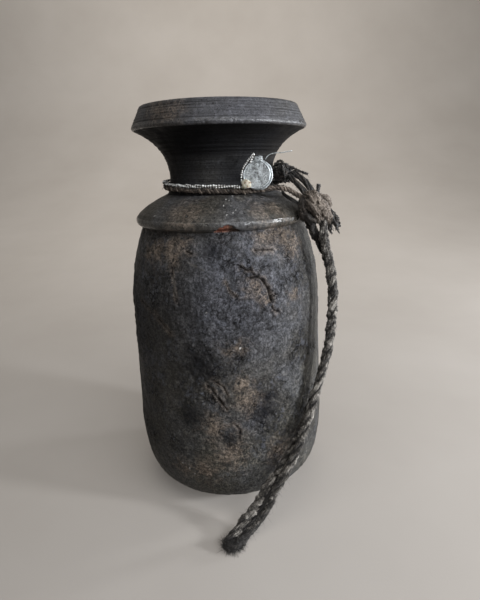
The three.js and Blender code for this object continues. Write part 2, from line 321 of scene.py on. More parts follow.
class Look:
    """A node material, put together from small steps. Each step gives a value for the next."""

    def __init__(self, name, metallic=0.0, specular=0.5):
        self.material = bpy.data.materials.new(name)
        self.material.use_nodes = True
        self.nodes = self.material.node_tree.nodes
        self.links = self.material.node_tree.links
        self.shader = self.nodes["Principled BSDF"]
        self.set("Metallic", metallic)
        self.set("Specular IOR Level", specular)
        self.normal = None
        self.own_place = self.value(self.node("TexCoord"), "Object")

    def set(self, name, value):
        self.fill(self.shader.inputs[name], value)

    def value(self, node, output=0):
        return Value(self, node.outputs[output])

    def node(self, kind, *values, **settings):
        """A node whose inputs, in order, take values of the look or plain ones."""
        node = self.nodes.new("ShaderNode" + kind)
        for key, value in settings.items():
            setattr(node, key, value)
        for socket, value in zip(node.inputs, values):
            self.fill(socket, value)
        return node

    def step(self, kind, output, inputs, **settings):
        """What a node gives whose inputs are set by name."""
        node = self.node(kind, **settings)
        for name, value in inputs.items():
            self.fill(node.inputs[name], value)
        return self.value(node, output)

    def fill(self, socket, value):
        """Link a socket to a value, or set it to a plain one. None leaves it alone."""
        if isinstance(value, Value):
            value = value.socket
        if isinstance(value, bpy.types.NodeSocket):
            self.links.new(value, socket)
        elif value is not None:
            socket.default_value = (*value, 1) if socket.type == "RGBA" else value

    def place(self, stretch=(1, 1, 1)):
        """The point on the object, in metres, with each axis multiplied by stretch."""
        return self.stretched(self.own_place, stretch)

    def attribute(self, name, output="Fac"):
        return self.value(self.node("Attribute", attribute_name=name), output)

    def attributes(self, names):
        return [self.attribute(name) for name in names.split()]

    def stretched(self, vector, stretch):
        return self.value(self.node("VectorMath", vector, stretch, operation="MULTIPLY"))

    def warped(self, vector, scale, amount):
        """A vector pushed about by noise, at most half this amount along each axis."""
        push = self.step("TexNoise", "Color", {"Vector": vector, "Scale": scale})
        level = self.value(self.node("VectorMath", push, (0.5,) * 3, operation="SUBTRACT"))
        amounts = (amount,) * 3
        return self.value(self.node("VectorMath", level, amounts, vector, operation="MULTIPLY_ADD"))

    def noise(self, vector, scale, detail=4.0, roughness=0.55, distortion=0.0):
        inputs = {"Vector": vector, "Scale": scale, "Detail": detail}
        inputs.update({"Roughness": roughness, "Distortion": distortion})
        return self.step("TexNoise", "Fac", inputs)

    def cell_edges(self, vector, scale):
        """How far a point is from the nearest edge between two cells."""
        inputs = {"Vector": vector, "Scale": scale}
        return self.step("TexVoronoi", "Distance", inputs, feature="DISTANCE_TO_EDGE")

    def between(self, value, low, high, start=0.0, end=1.0):
        """Value from low to high, turned smoothly into start to end."""
        return self.value(
            self.node("MapRange", value, low, high, start, end, interpolation_type="SMOOTHSTEP")
        )

    def math(self, operation, *values):
        return self.value(self.node("Math", *values, operation=operation))

    def most(self, first, *others):
        for other in others:
            first = self.math("MAXIMUM", first, other)
        return first

    def mix(self, share, first, second, way="MIX"):
        node = self.node("Mix", data_type="RGBA", blend_type=way)
        for number, value in ((0, share), (6, first), (7, second)):
            self.fill(node.inputs[number], value)
        return self.value(node, 2)

    def layered(self, colour, *layers):
        """A colour with others laid over it, as (share, colour) pairs."""
        for share, layer in layers:
            colour = self.mix(share, colour, layer)
        return colour

    def ramp(self, value, *stops):
        """A colour for each place from 0 to 1, as (place, colour) pairs. A plain number is a grey."""
        node = self.node("ValToRGB", value)
        points = node.color_ramp.elements
        while len(points) < len(stops):
            points.new(0.5)
        for point, (place, colour) in zip(points, stops):
            point.position = place
            point.color = (*(colour if isinstance(colour, tuple) else (colour,) * 3), 1)
        return self.value(node)

    def bump(self, height, distance, strength=1.0):
        inputs = {"Strength": strength, "Distance": distance, "Height": height, "Normal": self.normal}
        self.normal = self.step("Bump", "Normal", inputs)

    def finish(self, colour, roughness):
        self.set("Base Color", colour)
        self.set("Roughness", roughness)
        self.set("Normal", self.normal)
        return self.material


# The pot. Its outline is given as radius and height: from the middle of the foot up the outside,
# over the rim and down the inside. Each stretch starts where the one before it ends. It has a name,
# the distance between its rows, and the other points of its line or Bezier curve.
OUTLINE = [
    ("sole", 0.008, (0.062, 0)),
    ("heel", 0.0012, (0.085, 0.017)),
    ("foot", 0.0011, (0.095, 0.025), (0.098, 0.035), (0.0996, 0.050)),
    ("low_belly", 0.0011, (0.102, 0.065), (0.1023, 0.082)),
    ("belly", 0.0011, (0.0997, 0.150), (0.0988, 0.215)),
    ("chest", 0.0010, (0.0979, 0.235), (0.092, 0.268), (0.0833, 0.2865)),
    ("undercut", 0.0008, (0.0833, 0.2905)),
    ("lip", 0.0006, (0.087, 0.2908), (0.0901, 0.2955), (0.0872, 0.2995)),
    ("shoulder", 0.0011, (0.082, 0.307), (0.067, 0.3148), (0.055, 0.3198)),
    ("neck", 0.0012, (0.052, 0.323), (0.0514, 0.337)),
    ("flare", 0.0008, (0.0524, 0.351), (0.058, 0.3675), (0.0836, 0.3786)),
    ("ridge", 0.0004, (0.0850, 0.3793), (0.0854, 0.3804), (0.0850, 0.3819)),
    ("band", 0.0005, (0.0768, 0.3985)),
    ("edge", 0.0004, (0.0762, 0.4), (0.0748, 0.4)),
    ("top", 0.0012, (0.066, 0.4)),
    ("funnel", 0.003, (0.062, 0.375), (0.040, 0.360), (0.038, 0.340)),
    ("bore", 0.004, (0.038, 0.3225)),
    ("vault", 0.006, (0.052, 0.312), (0.072, 0.302), (0.075, 0.284)),
    ("upper_wall", 0.007, (0.084, 0.262), (0.089, 0.240), (0.089, 0.215)),
    ("wall", 0.010, (0.089, 0.070)),
    ("bottom_curve", 0.007, (0.089, 0.035), (0.076, 0.020), (0.055, 0.020)),
    ("bottom", 0.008, (0, 0.020)),
]
RIM_TILT = 0.0105
RIM_TILT_FROM = (0.345, 0.385)
POT_COLUMNS = 480
FRONT = math.radians(-80)
FRONT_CROWDING = 0.32
BEZIER_STEPS = 200


def bezier(points, count):
    t = np.linspace(0, 1, count)[:, None]
    rows = [np.broadcast_to(np.asarray(p, float), (count, 2)) for p in points]
    while len(rows) > 1:
        rows = [a + (b - a) * t for a, b in zip(rows, rows[1:])]
    return rows[0]


def pot_rows():
    """The outline's points, each with its stretch's number and how far along the stretch it is."""
    points, stretch, along = [], [], []
    start = (0, 0)
    for number, (_, spacing, *controls) in enumerate(OUTLINE):
        fine = bezier([start, *controls], BEZIER_STEPS)
        start = controls[-1]
        length = distances(fine)[-1]
        count = max(3, round(length / spacing) + 1)
        at = np.linspace(0, length, count)[:-1]
        points.append(np.stack([np.interp(at, distances(fine), fine[:, k]) for k in (0, 1)], axis=1))
        stretch.append(np.full(count - 1, number))
        along.append(at)
    points.append([start])
    stretch.append([len(OUTLINE) - 1])
    along.append([along[-1][-1]])
    return np.vstack(points), np.concatenate(stretch), np.concatenate(along)


def stretch_number(name):
    return [row[0] for row in OUTLINE].index(name)


class PotSurface:
    """The pot's grid of points, with what each mark does to it: height outward, and the tones that
    its material reads."""

    def __init__(self):
        self.profile, self.stretch, self.along = pot_rows()
        even = np.linspace(-math.pi, math.pi, POT_COLUMNS, endpoint=False)
        turn = even + FRONT - FRONT_CROWDING * np.sin(even)
        radius, height = self.profile.T
        self.turns = np.broadcast_to(turn, (len(radius), POT_COLUMNS))
        self.radius = np.broadcast_to(radius[:, None], self.turns.shape)
        self.height = np.broadcast_to(height[:, None], self.turns.shape)
        slope = np.gradient(self.profile, axis=0)
        out = unit(np.stack([slope[:, 1], -slope[:, 0]], axis=1))
        self.out_radius = np.broadcast_to(out[:, :1], self.turns.shape)
        self.out_height = np.broadcast_to(out[:, 1:], self.turns.shape)
        self.base = self.places(0)
        self.relief = np.zeros(self.turns.shape)
        self.tones = {}
        self.body = self.rows_of("heel", "foot", "low_belly", "belly", "chest", "undercut")
        self.lip = self.rows_of("lip")
        self.shoulder = self.rows_of("shoulder")
        self.outside = self.body + self.lip + self.shoulder
        self.flare = self.rows_of("flare")
        self.neck = self.rows_of("neck", "flare")
        self.ridge = self.rows_of("ridge")
        self.band = self.rows_of("band")
        self.rim = self.rows_of("ridge", "band", "edge", "top")
        self.inside = 1 - self.outside - self.neck - self.rim - self.rows_of("sole")

    def places(self, relief):
        radius = self.radius + self.out_radius * relief
        height = self.height + self.out_height * relief
        across, depth = radius * np.cos(self.turns), radius * np.sin(self.turns)
        height = height - RIM_TILT * across * smooth_step(height, *RIM_TILT_FROM)
        return np.stack([across, depth, height], axis=2).reshape(-1, 3)

    def rows_of(self, *names):
        """1 on the rows of these stretches, and 0 elsewhere."""
        numbers = [stretch_number(name) for name in names]
        return np.isin(self.stretch, numbers)[:, None] * np.ones(POT_COLUMNS)

    def noise(self, size, octaves=4, seed=0, fade=0.5):
        return fractal(self.base, size, octaves, seed, fade).reshape(self.turns.shape)

    def tone(self, name, value):
        self.tones[name] = np.maximum(self.tones.get(name, np.zeros(self.turns.shape)), value)

    def turned_from(self, angle):
        """How far round each point is from an angle, from -pi to pi."""
        return np.angle(np.exp(1j * (self.turns - angle)))

    def distance_to(self, degrees, height):
        """How far each point is from a place on the outside, over the surface."""
        across = self.turned_from(math.radians(degrees)) * self.radius
        return np.hypot(across, self.height - height)

    def spot(self, degrees, height, width):
        """1 at a place, falling smoothly away over this width."""
        return bump_at(self.distance_to(degrees, height), width)

    def distance_to_line(self, marks):
        """How far each point is from a broken line of (degrees, height) on the outside."""
        least = np.full(self.turns.shape, 1.0)
        middle = math.radians(np.mean([mark[0] for mark in marks]))
        across = self.turned_from(middle) * self.radius
        past_flare = self.stretch > stretch_number("flare")
        corners = []
        for degrees, height in marks:
            row = np.argmin(np.abs(self.profile[:, 1] - height) + past_flare)
            corners.append(((math.radians(degrees) - middle) * self.profile[row, 0], height))
        for (x0, y0), (x1, y1) in zip(corners, corners[1:]):
            length = (x1 - x0) ** 2 + (y1 - y0) ** 2
            part = ((across - x0) * (x1 - x0) + (self.height - y0) * (y1 - y0)) / length
            part = np.clip(part, 0, 1)
            gap = np.hypot(across - x0 - part * (x1 - x0), self.height - y0 - part * (y1 - y0))
            least = np.minimum(least, gap)
        return least


# What marks the pot's outside, read off the photograph. Grooves are given as distances up the band
# and as heights, cracks as depth, width and a line, patches and chips as a place and a size. Places
# are (degrees round from +X, height).
BAND_GROOVES = [0.0031, 0.0057, 0.0083, 0.0110, 0.0136, 0.0159]
FLARE_GROOVES = [0.3525, 0.3550, 0.3575, 0.3605, 0.3640, 0.3675, 0.3710]
CRACKS = [
    (0.0020, 0.0011, [(-75, 0.2505), (-71.5, 0.2512), (-68.8, 0.2484), (-65.6, 0.2398),
                      (-64.4, 0.2286)]),
    (0.0014, 0.0008, [(-64.4, 0.2230), (-63, 0.2185), (-60.5, 0.2170)]),
    (0.0014, 0.0008, [(-80, 0.2610), (-77.5, 0.2580), (-74.6, 0.2570), (-73, 0.2525)]),
    (0.0008, 0.0009, [(-70.8, 0.2735), (-65, 0.2730), (-59.8, 0.2722)]),
    (0.0007, 0.0007, [(-111, 0.2745), (-107.5, 0.2725)]),
    (0.0006, 0.0006, [(-88.5, 0.2480), (-86.5, 0.2400), (-83, 0.2355)]),
    (0.0008, 0.0008, [(-145, 0.2225), (-139, 0.2194), (-131.7, 0.2156), (-125.9, 0.2067),
                      (-120.6, 0.1994)]),
    (0.0005, 0.0006, [(-119.5, 0.2600), (-118.6, 0.2527), (-116.3, 0.2325)]),
    (0.0014, 0.0009, [(-101, 0.1500), (-98.9, 0.1477), (-94.9, 0.1366), (-91, 0.1260)]),
    (0.0007, 0.0007, [(-97, 0.1560), (-92, 0.1490), (-90, 0.1400)]),
    (0.0006, 0.0008, [(-88, 0.1120), (-84, 0.1040), (-85, 0.0950)]),
    (0.0005, 0.0010, [(12, 0.262), (17, 0.240), (14, 0.216), (19, 0.190)]),
    (0.0006, 0.0012, [(96, 0.120), (101, 0.148), (99, 0.171)]),
    (0.0006, 0.0011, [(168, 0.240), (172, 0.226), (170, 0.204), (175, 0.192)]),
]
SCRATCHES = [
    [(-119, 0.2590), (-118, 0.2470), (-115.8, 0.2325)],
    [(-141, 0.2205), (-132.5, 0.2165), (-126.5, 0.2077), (-121.2, 0.2005), (-118, 0.1950)],
    [(-104, 0.1480), (-99.5, 0.1490), (-95.5, 0.1378)],
    [(-73, 0.1330), (-64, 0.1290), (-60, 0.1240)],
    [(-110, 0.2650), (-103, 0.2610), (-97, 0.2560)],
]
TAN_PATCHES = [
    (-123, 0.2773, 0.010), (-118, 0.2700, 0.007), (-57, 0.2845, 0.009), (-45, 0.2700, 0.008),
    (-134, 0.2735, 0.009), (-140, 0.2700, 0.007), (-114, 0.2800, 0.007), (-64, 0.2840, 0.008),
    (-50, 0.2835, 0.011), (-40, 0.2783, 0.009), (-48.1, 0.2275, 0.006), (-73, 0.2420, 0.008),
    (-67, 0.2294, 0.006), (-82.6, 0.1875, 0.006), (-89, 0.1844, 0.005), (-81.8, 0.1507, 0.009),
    (-79, 0.1349, 0.012), (-97.8, 0.1071, 0.012), (-90.4, 0.0778, 0.014), (-105, 0.0579, 0.012),
    (-61.4, 0.0723, 0.012), (-118, 0.0571, 0.009), (-110, 0.3050, 0.010), (-120, 0.3075, 0.009),
    (-63.3, 0.3053, 0.009), (-52, 0.3065, 0.008), (-128, 0.3905, 0.012), (-117, 0.3890, 0.009),
    (20, 0.250, 0.018), (75, 0.160, 0.022), (130, 0.070, 0.020), (168, 0.275, 0.014),
    (100, 0.300, 0.012),
]
# Dark patches. The first two, low on the front, are painted shadow where the rope's soft shadow on the
# body ends; the one at -72 degrees on the neck is the tag's painted shadow.
DARK_PATCHES_AND_SHADOWS = [
    (-70.7, 0.1193, 0.013), (-68, 0.1330, 0.010), (-112, 0.1150, 0.015), (-104, 0.1700, 0.018),
    (-90, 0.0950, 0.010), (-95, 0.2750, 0.009), (-131, 0.3730, 0.020), (-72, 0.3350, 0.013),
    (40, 0.090, 0.030), (110, 0.230, 0.026), (-170, 0.140, 0.030),
]
PALE_CHIPS = [
    (-79.0, 0.3190, 0.0005), (-83.1, 0.3156, 0.0006), (-85.5, 0.3165, 0.0005),
    (-82.5, 0.3114, 0.0004), (-79.8, 0.3083, 0.0005), (-82.0, 0.3065, 0.0005),
    (-85.9, 0.3048, 0.0003), (-87.5, 0.3120, 0.0004), (-99, 0.222, 0.0006), (-82.6, 0.1870, 0.0004),
    (-115, 0.0560, 0.0008), (-119, 0.0610, 0.0007), (-112, 0.0500, 0.0007), (-137, 0.3035, 0.0007),
]
GREY_SCALES = [
    (-79.8, 0.2605, 0.0070), (-84.6, 0.2652, 0.0050), (-76.8, 0.2550, 0.0050),
    (-90.2, 0.2606, 0.0060), (-91, 0.2100, 0.0070), (-82, 0.1760, 0.0060),
]
LIP_CHIP = [(-94.5, 0.2905), (-86.5, 0.2978), (-78.5, 0.2905)]
LIP_CHIP_DEPTH = 0.0018
FOOT_LINE = 0.0515


def bump_at(distance, width):
    """1 at a mark's middle, falling smoothly away over its width."""
    return np.exp(-((distance / width) ** 2))


def carve(pot):
    """The wood's own unevenness, as a hand and a knife leave it."""
    hand = pot.body + 0.6 * pot.lip + 0.35 * pot.shoulder + 0.12 * pot.neck + 0.5 * pot.rim
    hand = hand + 0.5 * pot.inside
    slow = pot.noise(0.055, 2, seed=1)
    knife = pot.noise((0.016, 0.016, 0.045), 3, seed=2)
    pot.relief += hand * (0.00035 * slow + 0.0003 * knife * (pot.body + pot.inside))


def lay_crust(pot):
    """Old sooty grease on the body, cracked into scales."""
    body = pot.body
    cover = pot.noise(0.034, 3, seed=3) + 0.9 * pot.spot(-88, 0.240, 0.040)
    cover = smooth_step(cover, -0.35, 0.5) * body * smooth_step(pot.height, 0.03, 0.07)
    plates = pot.noise((0.007, 0.007, 0.0095), 4, seed=4, fade=0.65)
    scales = smooth_step(plates, -0.12, 0.10) + smooth_step(plates, 0.32, 0.48)
    grain = pot.noise(0.0036, 3, seed=5, fade=0.7)
    pot.relief += cover * (0.00034 * scales + 0.00030 * grain)
    pot.relief += body * 0.00022 * pot.noise(0.0042, 3, seed=12, fade=0.7)
    pot.relief -= body * pot.relief.mean(axis=1, keepdims=True)
    pot.tone("crust", cover * (0.35 + 0.65 * smooth_step(plates, -0.05, 0.35)))
    pot.tone("crack", cover * 0.7 * bump_at(plates + 0.13, 0.07))
    # A blue-grey tint, partly the crust's own and partly painted sheen, on the front of the body and
    # on the rim. Its small spot low on the front is painted shadow: the bluish end of the rope's soft
    # shadow on the body.
    blue = pot.spot(-84, 0.236, 0.060) + 0.7 * pot.spot(-72, 0.120, 0.018)
    pot.tone("blue", np.clip(blue, 0, 1) * body)
    pot.tone("blue", 0.9 * pot.spot(-78, 0.390, 0.060) * pot.rim)
    low = bump_at(pot.height - 0.055, 0.065) * (0.6 + 0.7 * pot.noise(0.03, 2, seed=14)) * body
    pot.tone("low", np.clip(low, 0, 1))


def wrinkle(pot):
    """Wrinkles that run round the body, and short splits down its left."""
    # Each has its depth, the size and seed of its noise, and two spots with the second's strength.
    folds = [
        (0.0005, (0.03, 0.03, 0.0032), 6, (-74, 0.207, 0.022), 0.5, (-109, 0.213, 0.026)),
        (0.0006, (0.0045, 0.0045, 0.040), 7, (-116, 0.235, 0.028), 0.6, (-95, 0.140, 0.022)),
    ]
    for depth, size, seed, main_spot, strength, other_spot in folds:
        lines = 1 - smooth_step(np.abs(pot.noise(size, 2, seed=seed)), 0, 0.2)
        lines = lines * (pot.spot(*main_spot) + strength * pot.spot(*other_spot)) * pot.body
        pot.relief -= depth * lines
        pot.tone("crack", 0.6 * lines)


def turn(pot):
    """Turned lines: deep ones on the rim's slope, fine ones on the flare and the shoulder."""
    pot.tone("turned", np.clip(pot.neck + 0.75 * pot.rim + 0.4 * pot.shoulder + 0.5 * pot.lip, 0, 1))
    for at in BAND_GROOVES:
        uneven = smooth_step(pot.noise((0.018, 0.018, 0.2), 3, seed=int(at * 1e5)), -0.8, 0.6)
        gap = pot.along[:, None] - at - 0.0003 * pot.noise(0.04, 2, seed=8)
        cut = pot.band * bump_at(gap, 0.00050) * (0.35 + 0.65 * uneven)
        pot.relief -= 0.00042 * cut
        pot.tone("groove", 0.9 * cut)
    for at in FLARE_GROOVES:
        cut = pot.flare * bump_at(pot.height - at, 0.0006)
        pot.relief -= 0.00028 * cut
        pot.tone("groove", 0.5 * cut)
    turned = pot.noise((0.4, 0.4, 0.0017), 3, seed=9)
    pot.relief += 0.00014 * turned * (pot.neck + pot.shoulder + 0.8 * pot.band)
    # The neck is sooty black. On the flare it is painted blacker as the shade under the rim, and at a
    # spot on its front it is painted lighter as a highlight.
    painted_front_highlight = 0.6 * pot.spot(-101, 0.334, 0.020)
    soot = np.maximum(0.85 - painted_front_highlight, smooth_step(pot.height, 0.345, 0.358))
    pot.tone("soot", pot.neck * soot)
    foot_line = pot.rows_of("low_belly") * bump_at(pot.height - FOOT_LINE, 0.0012)
    pot.relief += 0.0007 * foot_line * pot.spot(-97, FOOT_LINE, 0.04)


def damage(pot):
    """Cracks, scratches, worn and dark patches, painted shade and shadows, grey scales and pale chips.
    """
    outside = pot.outside
    ragged = 1 + 0.6 * pot.noise(0.004, 3, seed=10)
    for depth, width, marks in CRACKS:
        away = pot.distance_to_line(marks)
        cut = bump_at(away, width * ragged) * outside
        pot.relief += 0.3 * depth * bump_at(away - 2.2 * width, width) * outside - depth * cut
        pot.tone("crack", cut)
        pot.tone("tan", 0.6 * bump_at(away, 3.6 * width * ragged) * outside)
    for marks in SCRATCHES:
        line = bump_at(pot.distance_to_line(marks), 0.0006) * outside
        pot.relief += 0.00035 * line
        pot.tone("scuff", line * smooth_step(pot.noise(0.006, 2, seed=15), -0.6, 0.3))
    for degrees, height, size in TAN_PATCHES:
        near = pot.spot(degrees, height, size * ragged)
        pot.tone("tan", 0.9 * near * (pot.body + pot.lip + 0.5 * pot.shoulder + 0.7 * pot.rim))
    # Dark stains, with the painted shadows among these patches.
    for patch in DARK_PATCHES_AND_SHADOWS:
        pot.tone("dark", pot.spot(*patch) * (pot.body + pot.rim + pot.neck))
    # Painted shade: the body's left side made darker, low and in the middle, where it turns away from
    # the light.
    for height in (0.09, 0.20):
        pot.tone("dark", 0.85 * pot.spot(-161, height, 0.064) * pot.body)
    for scale in GREY_SCALES:
        pot.tone("crust", 1.4 * pot.spot(*scale) * pot.body)
    for degrees, height, size in PALE_CHIPS:
        chip = smooth_step(pot.distance_to(degrees, height) / size * ragged, 1.25, 0.7) * outside
        pot.tone("pale", chip)
        pot.relief += 0.0002 * chip


def chip_lip(pot):
    """The three-cornered chip out of the lip, whose left side shows raw wood."""
    left, point, right = LIP_CHIP
    part = pot.turned_from(math.radians(left[0])) / math.radians(right[0] - left[0])
    peak = (point[0] - left[0]) / (right[0] - left[0])
    rise = np.clip(np.minimum(part / peak, (1 - part) / (1 - peak)), 0, 1)
    rise = rise * (1 + 0.25 * pot.noise(0.003, 2, seed=11))
    edge = left[1] + (point[1] - left[1]) * rise
    chip = smooth_step(edge - pot.height, -0.0004, 0.0006) * (rise > 0.02) * pot.lip
    pot.relief -= LIP_CHIP_DEPTH * chip
    pot.tone("chip", chip)
    pot.tone("raw", smooth_step(part / peak, 1.35, 0.85) * chip)


def polish(pot):
    """Where hands have polished it, the rim's ridge and the lip. Both have lost small nicks."""
    nicks = smooth_step(pot.noise(0.0028, 3, seed=16), 0.45, 0.7)
    pot.relief -= 0.00035 * nicks * (pot.ridge + pot.lip * bump_at(pot.height - 0.2965, 0.0022))
    shine = pot.ridge + pot.band * smooth_step(pot.along[:, None], 0.0026, 0.0008)
    shine = shine + pot.lip * smooth_step(pot.height, 0.2900, 0.2925)
    pot.tone("shine", np.clip(shine * (0.75 + 0.6 * pot.noise(0.008, 3, seed=13)), 0, 1))


MIDDLE_GREY = (0.38, 0.38, 0.38)
PIT_BLACK = (0.005, 0.004, 0.004)


def pot_look():
    look = Look("pot_wood")
    here = look.place()
    tan, dark, crack, crust, pale = look.attributes("tan dark crack crust pale")
    chip, groove, raw, shine, low = look.attributes("chip groove raw shine low")
    blue, soot, scuff, turned = look.attributes("blue soot scuff turned")

    wide = look.noise(here, 16, detail=5)
    middle = look.noise(here, 95, detail=7, roughness=0.66)
    fine = look.noise(here, 330, detail=5, roughness=0.72, distortion=0.9)
    speck = look.noise(here, 720, detail=3, roughness=0.7)
    flakes = look.noise(here, 210, detail=6, roughness=0.6, distortion=0.8)
    grain = look.noise(look.place((1, 1, 0.16)), 300, detail=4)
    rings = look.noise(look.place((10, 10, 1100)), 1.0, detail=3, roughness=0.6)

    # The wood under its marks: soft tones, speckles, and rings where it was turned.
    patina = look.ramp(
        wide,
        (0.30, (0.021, 0.019, 0.014)),
        (0.46, (0.042, 0.039, 0.034)),
        (0.58, (0.054, 0.054, 0.056)),
        (0.72, (0.056, 0.050, 0.040)),
    )
    # The blue tint is partly painted sheen and, at one low spot, painted shadow.
    patina = look.layered(
        patina, (blue * 0.65, (0.058, 0.060, 0.074)), (low * 0.5, (0.046, 0.044, 0.034))
    )
    speckle = look.ramp(middle * 0.30 + fine * 0.70, (0.38, 0.05), (0.50, 0.36), (0.60, 0.95))
    speckle = look.mix(turned * 0.65, speckle, MIDDLE_GREY)
    patina = look.mix(1.0, patina, speckle, "MULTIPLY")
    patina = look.mix(1.0, patina, MIDDLE_GREY, "DIVIDE")
    lines = look.ramp(rings, (0.36, 0.45), (0.50, 1.0), (0.64, 1.5))
    patina = look.mix(turned * 0.8, patina, look.mix(1.0, patina, lines, "MULTIPLY"))

    # Painted glints: small bright bluish flecks that stand in for highlights on the crust.
    glint = look.between(speck, 0.57, 0.66) * look.between(middle, 0.46, 0.60) * (crust * 0.7 + 0.3)
    pits = look.between(speck, 0.43, 0.34)
    edges = look.cell_edges(look.warped(here, 150, 0.007), 190)
    crackle = look.between(edges, 0.10, 0.02) * look.between(look.noise(here, 50), 0.44, 0.60)
    crackle = crackle * (crust * 0.8 + 0.2)
    brown = look.ramp(
        fine,
        (0.35, (0.055, 0.041, 0.030)),
        (0.52, (0.175, 0.133, 0.100)),
        (0.66, (0.36, 0.29, 0.23)),
    )
    split = look.ramp(fine, (0.42, (0.030, 0.016, 0.010)), (0.60, (0.085, 0.045, 0.028)))
    bare = look.ramp(
        fine,
        (0.40, (0.075, 0.022, 0.013)),
        (0.52, (0.26, 0.080, 0.046)),
        (0.66, (0.32, 0.19, 0.13)),
    )
    cream = look.ramp(fine, (0.36, (0.30, 0.29, 0.28)), (0.60, (0.72, 0.71, 0.68)))
    patina = look.layered(
        patina,
        (crust * look.between(flakes, 0.52, 0.60) * 0.6, (0.120, 0.124, 0.145)),
        # painted glints
        (glint * 0.8, (0.22, 0.225, 0.25)),
        (low * look.between(fine, 0.52, 0.64) * 0.65, (0.15, 0.13, 0.10)),
        (tan * look.between(fine, 0.34, 0.55) * 0.95, brown),
        # dark stains, with the painted shade and painted shadows of the dark patches and the body's
        # left side
        (dark * 0.75, (0.012, 0.012, 0.014)),
        # soot, and painted shade on the flare under the rim
        (soot * 0.9, (0.009, 0.009, 0.010)),
        (pits * 0.8, PIT_BLACK),
        (crackle * 0.8, PIT_BLACK),
        (crack, (0.004, 0.003, 0.003)),
        (groove * 0.55, (0.010, 0.009, 0.009)),
        (scuff * 0.7, (0.155, 0.145, 0.130)),
        (chip, split),
        (raw * 0.9, bare),
        (pale, cream),
    )

    dull = look.most(soot * 0.9, crack, crackle, pits * 0.7, dark * 0.9)
    look.set("Specular IOR Level", look.most(shine * 0.40 + 0.27 - dull * 0.26, 0.02))
    rugged = (crust * 0.6 + 0.4) * (1.0 - look.most(shine, turned) * 0.75)
    look.bump(grain, 0.0008, 0.35)
    look.bump(rings, 0.0010, turned * 0.6)
    look.bump(middle, 0.0030, rugged)
    look.bump(look.between(flakes, 0.46, 0.58), 0.0007, crust * 0.9)
    look.bump(1.0 - crackle, 0.0006, 0.8)
    look.bump(fine, 0.0026, rugged)
    return look.finish(patina, look.between(middle, 0.3, 0.7, 0.44, 0.72) - shine * 0.30)


def pot_uv(rows):
    """Where each corner of the pot's grid lies on its texture: round it, and along its outline."""
    def corners_to_uv(corners, flat):
        column = (corners - 1) % POT_COLUMNS
        row = (corners - 1) // POT_COLUMNS
        face_of = np.repeat(np.arange(len(flat)), np.where(flat, 3, 4))
        last = np.zeros(len(flat))
        np.maximum.at(last, face_of, column)
        wraps = (last[face_of] == POT_COLUMNS - 1) & (column == 0)
        u = np.where(wraps, 1.0, column / POT_COLUMNS)
        v = np.where(corners == 0, 0, (row + 1.0) / (rows + 1))
        v = np.where(corners == corners.max(), 1, v)
        return np.stack([u, v], axis=1)

    return corners_to_uv


def make_pot():
    pot = PotSurface()
    for work in (carve, lay_crust, wrinkle, turn, damage, chip_lip, polish):
        work(pot)
    rows = len(pot.profile)
    places = pot.places(pot.relief).reshape(rows, POT_COLUMNS, 3)
    points = np.vstack([[places[0].mean(0)], places[1:-1].reshape(-1, 3), [places[-1].mean(0)]])
    points[:, 2] = np.maximum(points[:, 2], 0)
    faces = closed_grid(rows - 2, POT_COLUMNS, 0, len(points) - 1, first=1)
    values = {}
    for name, tone in pot.tones.items():
        values[name] = np.concatenate([[tone[0].mean()], tone[1:-1].ravel(), [tone[-1].mean()]])
    new_piece("pot_visual", points, faces, "pot", pot_look(), ["pot"], values, pot_uv(rows))


make_pot()


# Rope and cord: strands laid round each other, and the loose hairs on them.
YARNS = 5
HAIR_LEAN = 0.9


def wander(along, size, seed, octaves=3):
    """A smooth uneven number for each distance along a cord, from about -1 to 1."""
    along = np.asarray(along, float)
    points = np.stack([along, np.full_like(along, 0.13 * seed), np.full_like(along, 0.31)], axis=1)
    return fractal(points, (size, 1, 1), octaves, seed)


def matted(distance, around, radius, size, seed):
    """Noise over a cord's surface. Size is how far apart its lumps are along the cord and round it."""
    places = np.broadcast_arrays(distance, radius * np.cos(around), radius * np.sin(around))
    flat = np.stack(places, axis=2)
    lumps = fractal(flat.reshape(-1, 3), (size[0], size[1], size[1]), 3, seed, fade=0.65)
    return lumps.reshape(flat.shape[:2])


def beads(line, pitch, seed):
    """A wave from -1 to 1 along a line, for a string whose turns stand out as beads."""
    along = distances(line)
    return np.cos(2 * math.pi * along / pitch + 3 * wander(along, 3 * pitch, seed))


def lay_strands(
    tubes, line, number, offset, radius, lay, sides, seed,
    uneven=0.2, tone=0.5, swell=1.0, rough=0.12, shade=0.0,
):
    """Strands laid round a line, each of a few yarns. Lay is how far it is along the line for one
    turn. Tone and swell may change along it."""
    along = distances(line)
    _, side, up = frames_along(line)
    rate = 2 * math.pi / (lay * (1 + 0.6 * uneven * wander(along, 3 * lay, seed)))
    turn = np.concatenate([[0], np.cumsum(rate[1:] * np.diff(along))])
    yarn_lay = 1.4 * lay
    for k in range(number):
        own_seed = seed + 17 * k
        angle = turn + 2 * math.pi * k / number + 0.9 * uneven * wander(along, 1.5 * lay, own_seed)
        away = swell * offset * (1 + uneven * wander(along, lay, own_seed + 3))
        outward = side * np.cos(angle)[:, None] + up * np.sin(angle)[:, None]
        thick = swell * radius * (1 + 0.7 * uneven * wander(along, 0.7 * lay, own_seed + 5))

        def furrows(distance, around, k=k):
            turned = around * YARNS - distance * 2 * math.pi * YARNS / yarn_lay + k
            ragged = matted(distance, around, radius, (1.6 * radius, 0.5 * radius), seed + k)
            return (1 + 0.10 * np.sin(turned)) * (1 + rough * ragged)

        level = tone + 0.12 * (k - 1)
        centre = line + outward * away[:, None]
        tubes.add(centre, thick, sides, -1 / yarn_lay, furrows, level, outward, shade)


